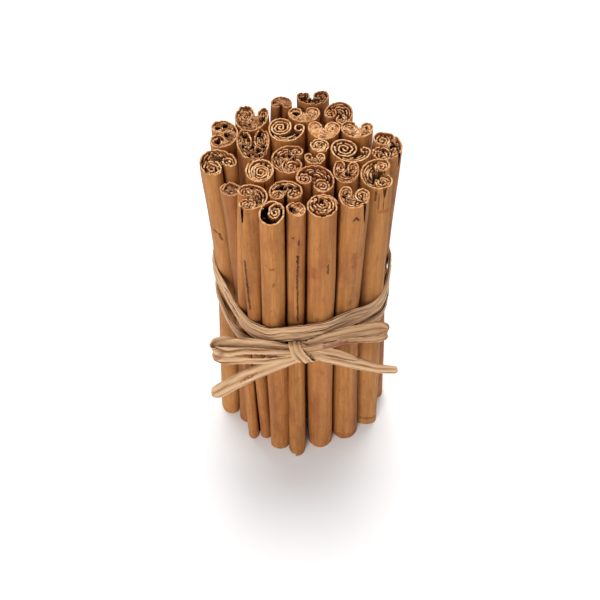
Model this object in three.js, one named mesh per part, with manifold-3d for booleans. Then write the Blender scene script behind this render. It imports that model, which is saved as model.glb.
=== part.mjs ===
// A bundle of cinnamon quills: 27 rolled sticks of bark standing on end, tied round the
// middle with raffia whose two windings end in a knot with two loops and two tails.
// Millimetres, +Z up. The origin is at the bottom centre of the bundle's box.
import * as THREE from "three";
import { mergeVertices } from "three/addons/utils/BufferGeometryUtils.js";
import Module from "manifold-3d";

// Driving dimensions.
const STICK_LENGTH = 100; // a quill cut to the usual length
const BARK = 0.8; // thickness of the rolled bark, its layers pressed together
const ROLL_GAP = 0.35; // air left between one turn of bark and the next
const MOST_TURNS = 1.2; // how far a curl of a double roll winds at most
const CLEARANCE = 0.35; // air between two pieces that touch
const WAIST = 0.55; // share of the length at which the tie draws the sticks in
const SQUEEZE = [0.0002, 0.0012, 0]; // how hard the sticks are drawn together at foot, waist and top
const ARC_STEP = 28; // degrees of one facet on the outside of a roll
const CURL_STEP = 40; // degrees of one facet inside a roll
const SETTLE_ROUNDS = 500; // how often the sticks are drawn in and moved apart
const RAGGED = 0.35; // how unevenly the cut ends run
const FALL_START = 0.6; // share of the half width behind the axis where a sloping cut is at full length
const FRONT = -90; // the knot's side of the bundle, in degrees from +X
const RIBBON = 0.9; // thickness of the raffia, folded flat
const UPPER_BAND = 5.6; // height of the upper winding
const LOWER_BAND = 4.6; // height of the lower winding
const BAND_STEPS = 60; // facets round a winding
const SLACK = 0.75; // air between the windings and the sticks they lie on
const RIBBON_FOLD = 0.3; // how far the fold along a ribbon's middle stands out
const BARK_COLOUR = 0xb9804b;
const RAFFIA_COLOUR = 0xc8a880;

// One stick a line, from the back of the bundle to the front: where its top stands, how far
// its foot stands from below the top, its size across the seam and along it, the way the
// seam faces, and the share of the half width that each curl takes, on the left and on the
// right of the seam. A stick with one curl is a plain roll of that many turns. tall adds to
// its length, fall is how far the cut end drops for each millimetre towards the front, and
// twist turns the foot about the stick's axis.
const STICKS = [
  { top: [-4.2, 22.8], foot: [0.8, -2.4], size: [6.0, 5.2], seam: -90, curls: [0.46, 0.46] },
  { top: [4.2, 23.8], foot: [0.8, -2.6], size: [9.2, 6.4], seam: 100, curls: [0.42, 0.5] },
  { top: [-13.0, 16.6], foot: [0.8, -2.6], size: [9.2, 9.2], seam: 70, curls: [0.6, 0.35], fall: 0.2 },
  { top: [3.4, 17.2], foot: [0.8, -3.0], size: [8.8, 6.8], seam: 92, curls: [0.47, 0.47], fall: 0.04 },
  { top: [12.2, 17.0], foot: [0.8, -3.4], size: [7.8, 7.4], seam: 235, curls: [0.46, 0.44], fall: 0.2 },
  {
    top: [-19.6, 10.2], foot: [0.6, -4.0], size: [10.2, 7.6], seam: 178,
    curls: [0.5, 0.42], tall: -1, fall: 0.12,
  },
  {
    top: [-3.4, 10.2], foot: [0.8, -3.0], size: [9.6, 8.8], seam: 55,
    curls: [0.64, 0.31], tall: 0.5, fall: 0.14,
  },
  { top: [5.8, 10.4], foot: [1.0, -3.0], size: [8.8, 7.0], seam: 90, curls: [0.46, 0.5], fall: 0.06 },
  { top: [14.8, 12.6], foot: [0.8, -4.0], size: [8.8, 7.4], seam: 78, curls: [0.54, 0.4] },
  { top: [-11.9, 5.8], foot: [0.8, -3.2], size: [9.0, 9.2], seam: 96, curls: [0.48, 0.48], fall: 0.3 },
  { top: [22.2, 4.0], foot: [0.8, -6.2], size: [9.2, 8.2], seam: 172, curls: [0.5, 0.46], fall: 0.2 },
  { top: [-21.6, -2.0], foot: [0.4, -6.4], size: [9.4, 8.8], seam: -48, curls: [0.4, 0.56], fall: 0.18 },
  { top: [-2.8, -1.4], foot: [0.8, -3.0], size: [8.6, 8.8], seam: 5, curls: [0.36, 0.58], fall: 0.26 },
  { top: [6.8, 4.4], foot: [1.0, -3.4], size: [5.6, 5.2], seam: 200, curls: [1.5] },
  { top: [14.6, 2.4], foot: [1.0, -4.4], size: [10.6, 8.6], seam: 48, curls: [0.68, 0.28] },
  { top: [4.6, -1.0], foot: [1.0, -3.0], size: [5.6, 4.8], seam: 92, curls: [0.46, 0.46] },
  { top: [4.8, -8.2], foot: [1.2, -2.8], size: [10.4, 7.8], seam: -122, curls: [0.5, 0.44], fall: 0.15 },
  { top: [-9.4, -5.2], foot: [-0.4, -3.0], size: [7.4, 7.4], seam: 140, curls: [2.1], fall: 0.26 },
  { top: [-16.8, -11.2], foot: [-0.9, -1.4], size: [5.4, 5.6], seam: 120, curls: [1.5], tall: -2.5 },
  { top: [12.4, -6.6], foot: [1.6, -3.4], size: [6.8, 7.2], seam: 84, curls: [0.44, 0.46], fall: 0.2 },
  { top: [19.8, -6.8], foot: [2.2, -6.0], size: [8.8, 8.2], seam: 8, curls: [0.44, 0.5], fall: 0.28 },
  {
    top: [-11.2, -15.2], foot: [-1.9, -3.4], size: [7.6, 7.6], seam: 184,
    curls: [0.5, 0.44], twist: 86, fall: 0.24,
  },
  { top: [-2.6, -12.8], foot: [0.2, -3.4], size: [8.6, 7.4], seam: -88, curls: [0.46, 0.46], tall: -0.5 },
  { top: [14.4, -16.6], foot: [1.8, -1.8], size: [8.0, 7.4], seam: 82, curls: [0.44, 0.5], fall: 0.08 },
  { top: [-5.4, -21.6], foot: [0.9, -2.3], size: [6.0, 6.8], seam: 30, curls: [1.6], fall: 0.45 },
  { top: [-0.8, -20.8], foot: [-0.4, -5.6], size: [5.2, 5.6], seam: -95, curls: [1.2], tall: -0.5 },
  {
    top: [5.8, -19.2], foot: [1.8, -2.6], size: [8.0, 8.0], seam: 10,
    curls: [2.2], tall: -0.5, fall: 0.12,
  },
];

// The windings' middle height at some angles round the bundle, in degrees from +X. The
// upper one climbs from the knot towards the back, and the lower one stays below it.
const UPPER_HEIGHTS = [
  [FRONT, 55.8], [-110, 54.2], [-122, 53.5], [-140, 57], [-160, 60], [180, 63],
  [90, 64], [0, 60], [-20, 56.8], [-35, 55.6], [-65, 57],
];
const LOWER_HEIGHTS = [
  [FRONT, 48.2], [-120, 47], [-148, 47.2], [-165, 51], [180, 55], [90, 56],
  [0, 53], [-20, 50.4], [-45, 49.8],
];

// Lines of points that the loops, the tails and the knot's strap follow: x, y, z and the
// ribbon's width there. A loop runs out from the knot, turns and comes back in front.
const LEFT_LOOP = [
  [-2.6, -26.4, 51.4, 4.6], [-7.8, -25.8, 51.7, 5.4], [-13.5, -24.9, 51.0, 6.4],
  [-18.8, -23.6, 49.4, 6.8], [-22.8, -22.9, 47.7, 6.8], [-24.5, -23.8, 46.9, 6.6],
  [-23.8, -25.0, 46.7, 6.4], [-21.1, -25.9, 47.5, 6.2], [-16.4, -26.8, 48.4, 5.8],
  [-10.7, -27.7, 49.3, 5.4], [-5.0, -28.2, 50.2, 4.8], [-2.6, -28.2, 50.7, 4.6],
];
const RIGHT_LOOP = [
  [4.0, -26.3, 52.9, 3.8], [7.7, -25.8, 54.1, 4.4], [13.4, -24.7, 55.2, 5.2],
  [19.1, -23.2, 55.1, 5.6], [23.4, -22.4, 54.5, 5.8], [25.2, -23.0, 54.3, 5.8],
  [24.5, -24.5, 54.3, 5.6], [21.5, -25.5, 54.8, 5.4], [17.5, -26.4, 55.2, 5.2],
  [12.5, -27.2, 55.2, 4.8], [7.7, -27.9, 54.4, 4.2], [4.0, -28.1, 53.4, 3.8],
];
const LEFT_TAIL = [
  [-1.8, -27.3, 46.4, 4.4], [-6.5, -27.0, 43.8, 4.8], [-12.4, -26.8, 39.8, 5.0],
  [-18.5, -26.8, 35.2, 5.0], [-24.8, -27.1, 30.0, 4.6],
];
const RIGHT_TAIL = [
  [4.4, -27.3, 48.9, 4.2], [9.5, -27.3, 47.6, 4.8], [15.2, -27.2, 45.8, 4.8],
  [22, -27.2, 43.4, 3.8], [28.8, -27.2, 42.7, 3],
];
const KNOT = {
  middle: [0.6, -27.3, 51.2],
  across: 2.6,
  deep: 1.6,
  tall: 3.9,
  strap: [
    [0.2, -26.6, 54.9, 3.6], [0.5, -28.4, 54.9, 4.0], [0.9, -29.3, 53.2, 4.2],
    [1.4, -29.5, 50.6, 4.8], [1.6, -28.8, 48.2, 5.2], [1.5, -27.2, 47.0, 5.2],
  ],
};

const DEGREE = Math.PI / 180;
const direction = (degrees) =>
  new THREE.Vector2(Math.cos(degrees * DEGREE), Math.sin(degrees * DEGREE));

// An uneven but repeatable number from -1 to 1.
function uneven(seed) {
  const wave = Math.sin(seed * 12.9898) * 43758.5453;
  return 2 * (wave - Math.floor(wave)) - 1;
}

// Rolled bark ---------------------------------------------------------------------------

// Points along a curl that winds inwards from a radius, for a share of a full turn.
// sense is 1 for a curl that winds anticlockwise, -1 for a clockwise one.
function curl(centre, radius, startAngle, turns, pitch, sense) {
  const steps = Math.round((turns * 360) / CURL_STEP);
  return Array.from({ length: steps }, (_, i) => {
    const share = (i + 1) / steps;
    const inward = radius - pitch * turns * share;
    const angle = startAngle + sense * turns * 360 * share;
    return { at: direction(angle).multiplyScalar(inward).add(centre), middle: centre };
  });
}

// The outer face of the bark as one line of points in a roll of half width 1, the seam
// facing +Y. Each point also has the middle that the bark's thickness grows towards.
function rollLine(stick) {
  const half = Math.min(...stick.size) / 2;
  const pitch = (BARK + ROLL_GAP) / half;
  const origin = new THREE.Vector2();
  if (stick.curls.length === 1) {
    const start = { at: direction(90), middle: origin };
    return [start, ...curl(origin, 1, 90, stick.curls[0], pitch, 1)];
  }
  // Each curl touches the outer arc from inside, and the two stand a gap apart.
  const [left, right] = stick.curls;
  const [toLeft, toRight] = [1 - left, 1 - right];
  const apart = left + right + ROLL_GAP / half;
  const opening = Math.acos(
    Math.max(-1, (toLeft ** 2 + toRight ** 2 - apart ** 2) / (2 * toLeft * toRight)),
  ) / DEGREE;
  const leftAngle = 90 + (opening * toRight) / (toLeft + toRight);
  const rightAngle = 450 - (opening * toLeft) / (toLeft + toRight);
  const turnsOf = (share) => Math.min(MOST_TURNS, share / pitch - 0.7);
  const leftMiddle = direction(leftAngle).multiplyScalar(toLeft);
  const rightMiddle = direction(rightAngle).multiplyScalar(toRight);
  const steps = Math.round((rightAngle - leftAngle) / ARC_STEP);
  const arc = Array.from({ length: steps + 1 }, (_, i) => ({
    at: direction(leftAngle + ((rightAngle - leftAngle) * i) / steps),
    middle: i === 0 ? leftMiddle : i === steps ? rightMiddle : origin,
  }));
  return [
    ...curl(leftMiddle, left, leftAngle, turnsOf(left), pitch, -1).reverse(),
    ...arc,
    ...curl(rightMiddle, right, rightAngle, turnsOf(right), pitch, 1),
  ];
}

// The roll at its real size, centred on the stick's axis: the outer face's points and the
// inner face's, one for one.
function rollSection(stick) {
  const line = rollLine(stick);
  const box = new THREE.Box2().setFromPoints(line.map((p) => p.at));
  const centre = box.getCenter(new THREE.Vector2());
  const size = box.getSize(new THREE.Vector2());
  const scale = new THREE.Vector2(...stick.size).divide(size);
  const place = (point) => point.clone().sub(centre).multiply(scale);
  return line.map(({ at, middle }) => {
    const outer = place(at);
    const inward = place(middle).sub(outer);
    const wall = Math.min(BARK, inward.length() - 0.12);
    return { outer, inner: outer.clone().add(inward.setLength(wall)) };
  });
}

// How far a stick reaches from its axis towards a direction, at a turn of its section.
const reach = (stick, towards, turn) => {
  const local = towards.clone().rotateAround(new THREE.Vector2(), -turn);
  return Math.max(...stick.section.map((p) => p.outer.dot(local)));
};

// Sticks pressed together: every two that stand too close are moved apart by half each.
function settle(sticks, places, turns, squeeze) {
  const between = new THREE.Vector2();
  for (let round = 0; round < SETTLE_ROUNDS; round++) {
    const pull = round < SETTLE_ROUNDS / 2 ? 1 - squeeze : 1;
    places.forEach((place) => place.multiplyScalar(pull));
    sticks.forEach((one, i) =>
      sticks.slice(i + 1).forEach((other, k) => {
        const j = i + 1 + k;
        between.subVectors(places[j], places[i]);
        const distance = between.length();
        if (distance > Math.max(...one.size) + Math.max(...other.size)) return;
        between.normalize();
        const needed =
          reach(one, between, turns[i]) +
          reach(other, between.clone().negate(), turns[j]) +
          CLEARANCE;
        if (distance >= needed) return;
        places[i].addScaledVector(between, (distance - needed) / 2);
        places[j].addScaledVector(between, (needed - distance) / 2);
      }),
    );
  }
}

// Each stick's place and turn at its foot, its waist and its top.
function standUp(sticks) {
  const levels = [0, WAIST, 1].map((share, level) => {
    const turns = sticks.map(
      (s) => (s.seam - 90 + (s.twist ?? 0) * (1 - share)) * DEGREE,
    );
    const places = sticks.map((s) =>
      new THREE.Vector2(...s.top).addScaledVector(new THREE.Vector2(...s.foot), 1 - share),
    );
    settle(sticks, places, turns, SQUEEZE[level]);
    return { share, turns, places };
  });
  sticks.forEach((stick, i) => {
    stick.rings = levels.map(({ share, turns, places }) => ({
      share,
      turn: turns[i],
      place: places[i],
    }));
  });
}

// A stick's place and turn at any share of its length.
function axisAt(stick, share) {
  const upper = Math.max(1, stick.rings.findIndex((ring) => ring.share >= share));
  const [a, b] = [stick.rings[upper - 1], stick.rings[upper]];
  const along = (share - a.share) / (b.share - a.share);
  return {
    place: a.place.clone().lerp(b.place, along),
    turn: THREE.MathUtils.lerp(a.turn, b.turn, along),
  };
}

// A flat sheet of length by height by thickness, bent by a function that gives the place
// of each corner: column along the length, row up the height, back on the inner face.
function bentSheet(columns, rows, place) {
  const sheet = new THREE.BoxGeometry(2, 2, 2, columns, rows, 1);
  const points = sheet.getAttribute("position");
  for (let i = 0; i < points.count; i++) {
    const column = Math.round(((points.getX(i) + 1) / 2) * columns);
    const row = Math.round(((points.getY(i) + 1) / 2) * rows);
    points.setXYZ(i, ...place(column, row, points.getZ(i) < 0));
  }
  return closed(sheet);
}

// The geometry with only its places, and corners that meet made one.
function closed(geometry) {
  geometry.deleteAttribute("normal");
  geometry.deleteAttribute("uv");
  return mergeVertices(geometry, 1e-4);
}

function stickGeometry(stick, seed) {
  const { section, rings } = stick;
  const fall = stick.fall ?? 0;
  const fallStart = (FALL_START * Math.max(...stick.size)) / 2;
  return bentSheet(section.length - 1, rings.length - 1, (column, row, back) => {
    const { place, turn, share } = rings[row];
    const side = back ? section[column].inner : section[column].outer;
    const offset = side.clone().rotateAround(new THREE.Vector2(), turn);
    const cut = RAGGED * uneven(seed + column * 0.37) - (fallStart - offset.y) * fall;
    const tall = STICK_LENGTH + (stick.tall ?? 0);
    const z = share === 1 ? tall + cut : share * STICK_LENGTH;
    return [place.x + offset.x, place.y + offset.y, z];
  });
}

// The tie ------------------------------------------------------------------------------

// How far the bundle reaches in a direction at a height.
const bundleReach = (sticks, towards, z) =>
  Math.max(
    ...sticks.map((stick) => {
      const { place, turn } = axisAt(stick, z / STICK_LENGTH);
      return place.dot(towards) + reach(stick, towards, turn);
    }),
  );

// The distance from the axis to a ribbon drawn tight round the bundle at an angle.
function tightRadius(sticks, angle, low, high) {
  const radii = Array.from({ length: 35 }, (_, i) => {
    const lean = (i - 17) * 5;
    const towards = direction(angle + lean);
    const held = Math.max(
      bundleReach(sticks, towards, low),
      bundleReach(sticks, towards, high),
    );
    return (held + SLACK) / Math.cos(lean * DEGREE);
  });
  return Math.min(...radii);
}

// A smooth height from a few angles and their heights, all the way round.
function heightAt(angle, marks) {
  const around = (a) => ((a % 360) + 360) % 360;
  const sorted = marks.map(([a, z]) => [around(a), z]).sort((p, q) => p[0] - q[0]);
  const after = sorted.findIndex(([a]) => a > around(angle));
  const next = after < 0 ? [sorted[0][0] + 360, sorted[0][1]] : sorted[after];
  const last = after < 0 ? sorted.at(-1) : sorted.at(after - 1);
  const from = last[0] > next[0] ? last[0] - 360 : last[0];
  const along = (around(angle) - from) / (next[0] - from);
  return THREE.MathUtils.lerp(last[1], next[1], THREE.MathUtils.smoothstep(along, 0, 1));
}

// A winding of raffia: a ring whose section is a flat ribbon with a raised fold.
function bandGeometry(sticks, tall, marks) {
  const section = [
    [0, -0.5],
    [0, 0.5],
    [0.75, 0.5],
    [1.25, 0.12],
    [0.8, -0.08],
    [0.9, -0.5],
  ];
  const corners = [];
  for (let i = 0; i < BAND_STEPS; i++) {
    const angle = (360 * i) / BAND_STEPS;
    const z = heightAt(angle, marks);
    const radius = tightRadius(sticks, angle, z - tall / 2, z + tall / 2);
    corners.push(
      section.map(([out, up]) => {
        const spot = direction(angle).multiplyScalar(radius + out * RIBBON);
        return [spot.x, spot.y, z + up * tall];
      }),
    );
  }
  const count = section.length;
  const faces = [];
  corners.forEach((_, i) =>
    section.forEach((_, k) => {
      const [a, b] = [i * count + k, i * count + ((k + 1) % count)];
      const next = ((i + 1) % BAND_STEPS) * count;
      const [c, d] = [next + k, next + ((k + 1) % count)];
      faces.push(a, b, c, b, d, c);
    }),
  );
  const ring = new THREE.BufferGeometry();
  ring.setAttribute("position", new THREE.Float32BufferAttribute(corners.flat(2), 3));
  ring.setIndex(faces);
  return ring;
}

// Joins closed geometries into one.
async function joined(...geometries) {
  const wasm = await Module();
  wasm.setup();
  const solids = geometries.map(
    (g) =>
      new wasm.Manifold(
        new wasm.Mesh({
          numProp: 3,
          vertProperties: new Float32Array(g.getAttribute("position").array),
          triVerts: new Uint32Array(g.index.array),
        }),
      ),
  );
  const mesh = solids.reduce((all, solid) => all.add(solid)).getMesh();
  const geometry = new THREE.BufferGeometry();
  geometry.setAttribute("position", new THREE.BufferAttribute(mesh.vertProperties, 3));
  geometry.setIndex(new THREE.BufferAttribute(mesh.triVerts, 1));
  return geometry;
}

// A piece of ribbon that follows a line of points. Each point has its place and the width
// of the ribbon there; across is the way the width runs.
function ribbonGeometry(points, columns, across) {
  const line = new THREE.CatmullRomCurve3(
    points.map(([x, y, z]) => new THREE.Vector3(x, y, z)),
    false,
    "centripetal",
  );
  const widths = new THREE.SplineCurve(
    points.map(([, , , width], i) => new THREE.Vector2(i, width)),
  );
  return bentSheet(columns, 2, (column, row, back) => {
    const share = column / columns;
    const face = line.getTangent(share).cross(across).normalize();
    const ridge = row === 1 ? RIBBON_FOLD : 0;
    return line
      .getPoint(share)
      .addScaledVector(face, back ? -RIBBON / 2 : RIBBON / 2 + ridge)
      .addScaledVector(across, ((row - 1) / 2) * widths.getPoint(share).y)
      .toArray();
  });
}

// The knot: a crossing of strands with one strand strapped over it from top to bottom.
function knotGeometry() {
  const crossing = closed(new THREE.SphereGeometry(1, 14, 9));
  crossing.scale(KNOT.across, KNOT.deep, KNOT.tall);
  crossing.translate(...KNOT.middle);
  return joined(crossing, ribbonGeometry(KNOT.strap, 8, new THREE.Vector3(1, 0, 0)));
}

// Assembly -----------------------------------------------------------------------------

const bundle = new THREE.Group();

function addMesh(name, geometry, colour, roughness) {
  geometry.computeVertexNormals();
  const material = new THREE.MeshStandardMaterial({ color: colour, roughness, metalness: 0 });
  const mesh = new THREE.Mesh(geometry, material);
  mesh.name = name;
  bundle.add(mesh);
}

STICKS.forEach((stick) => {
  stick.section = rollSection(stick);
});
standUp(STICKS);
STICKS.forEach((stick, i) => {
  const name = `stick_${String(i + 1).padStart(2, "0")}`;
  const colour = new THREE.Color(BARK_COLOUR);
  colour.offsetHSL(0.008 * uneven(i + 3), 0, 0.03 * uneven(i + 9));
  addMesh(name, stickGeometry(stick, i + 1), colour, 0.75);
});

const raffia = (name, geometry) => addMesh(name, geometry, RAFFIA_COLOUR, 0.8);
raffia("tie_upper_winding", bandGeometry(STICKS, UPPER_BAND, UPPER_HEIGHTS));
raffia("tie_lower_winding", bandGeometry(STICKS, LOWER_BAND, LOWER_HEIGHTS));
raffia("tie_knot", await knotGeometry());
const UP = new THREE.Vector3(0, 0, 1);
raffia("tie_left_loop", ribbonGeometry(LEFT_LOOP, 24, UP));
raffia("tie_right_loop", ribbonGeometry(RIGHT_LOOP, 24, UP));
raffia("tie_left_tail", ribbonGeometry(LEFT_TAIL, 10, UP));
raffia("tie_right_tail", ribbonGeometry(RIGHT_TAIL, 10, UP));

// The origin goes to the bottom centre of the box.
const middle = new THREE.Box3().setFromObject(bundle).getCenter(new THREE.Vector3());
bundle.children.forEach((mesh) => mesh.geometry.translate(-middle.x, -middle.y, 0));

export default bundle;
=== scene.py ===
"""Bundle of cinnamon quills tied with raffia: the finished surface of every piece.

Each quill is sheets of bark rolled inside one another, with broken edges and crumbs at its
cut ends. The raffia is pleated ribbon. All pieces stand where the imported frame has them.
"""

import bisect
import math
import random
from typing import NamedTuple

import bmesh
import bpy
from mathutils import Matrix, Vector, kdtree, noise


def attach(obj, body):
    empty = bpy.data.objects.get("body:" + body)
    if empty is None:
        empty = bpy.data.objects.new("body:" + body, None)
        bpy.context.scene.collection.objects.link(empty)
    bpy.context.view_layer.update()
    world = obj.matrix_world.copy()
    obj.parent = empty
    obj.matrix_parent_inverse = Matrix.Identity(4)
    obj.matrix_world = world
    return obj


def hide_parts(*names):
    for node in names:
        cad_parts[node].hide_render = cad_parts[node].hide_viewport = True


bl_info = {
    "name": "Cinnamon Bundle",
    "version": (1, 0, 0),
    "blender": (4, 5, 0),
    "location": "View3D > Sidebar > Cinnamon",
    "description": "Rolled cinnamon quills standing in a bundle, tied with a raffia bow",
    "category": "Add Mesh",
}

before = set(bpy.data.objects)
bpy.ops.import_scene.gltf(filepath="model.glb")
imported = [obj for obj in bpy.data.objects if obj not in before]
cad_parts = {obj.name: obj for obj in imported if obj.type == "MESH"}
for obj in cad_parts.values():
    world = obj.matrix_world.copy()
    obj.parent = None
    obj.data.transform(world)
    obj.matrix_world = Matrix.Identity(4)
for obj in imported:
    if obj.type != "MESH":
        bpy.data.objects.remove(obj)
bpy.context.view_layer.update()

MM = 0.001
QUILL_LENGTH = 100.0  # mm, as packed
FOOT_HOLLOW = 1.0  # mm that the filling ends above the foot
WAIST_HEIGHT = 55.0  # mm, where the tie draws the quills in
ROLL_GAP = 0.35  # mm between the two curls of a double roll
NESTED_SPACING = 0.68  # mm from one nested sheet to the next
NESTED_THICKNESS = 0.32  # mm
FILLING_CELL = 0.13  # mm, the finest crumb of the filled ends
TREE_SPACING = 0.1  # mm between the points that distances are measured to
HOLE_DEPTH = 4.0  # mm
NEIGHBOUR_REACH = 14.0  # mm between the middles of quills that may touch
MOST_WOUND = 5 * 360  # degrees that a curl is wound in at most
SKIN_WOUND = 60.0  # degrees wound in up to which a sheet is part of the skin
HIDDEN_WOUND = 200.0  # degrees wound in from which a sheet lies behind its own outer turn
PLAIN_SKIN = 300.0  # degrees of a plain roll that count as not wound in
PLAIN_CLOSED = 352.0  # degrees after which the outline of a plain roll is closed
SIDE, INSIDE, CUT = 0, 1, 2  # material slots of a quill


# The quills -------------------------------------------------------------------------------


class Mark(NamedTuple):
    """A crack or stain from one place to another, or on a strand the painted shade of a hollow.
    A place on a quill is the direction that it faces, in degrees from +X, and its height in
    millimetres. A place on a strand is its shares along and across."""

    start: tuple
    end: tuple
    width: float  # mm
    strength: float
    red: bool = False


class Quill(NamedTuple):
    """How one stick is rolled and how its ends look. Lengths are in millimetres."""

    seam: float  # degrees from +X that the seam faces
    curls: tuple  # share of the half width of each curl, or the turns of a plain roll
    holes: tuple = ()  # x, y and radius of each dark hole of the top end
    pitch: float = 0.64  # from one winding to the next
    hollow: tuple = (0.35, 0.35)  # radius left open inside each curl
    lean: tuple = ((0, 0), (0, 0))  # how far the inner windings lie off centre, x and y
    sunk: tuple = (0.3, 0.3)  # how deep the inner windings end below the rim
    ragged: float = 0.32  # unevenness of the cut edges
    sheets: int = 2  # thinner sheets nested inside the arc of a double roll
    gaps: float = 0.5  # how much of the end is open between the layers
    neat: float = 0.0  # how clearly the windings stand apart
    mealy: float = 0.0  # how deep the inner windings are buried in crumbs
    loose: float = 0.0  # width of the gap after the first turn
    crumbs: int = 24
    tone: float = 0.0  # darker below 0, lighter above
    rosy: float = 0.0  # yellower below 0, redder above
    cracks: tuple = ()  # direction in degrees and depth of each split from the top
    twist: float = 0.0  # turn of the foot about the axis, in degrees
    marks: tuple = ()


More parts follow.
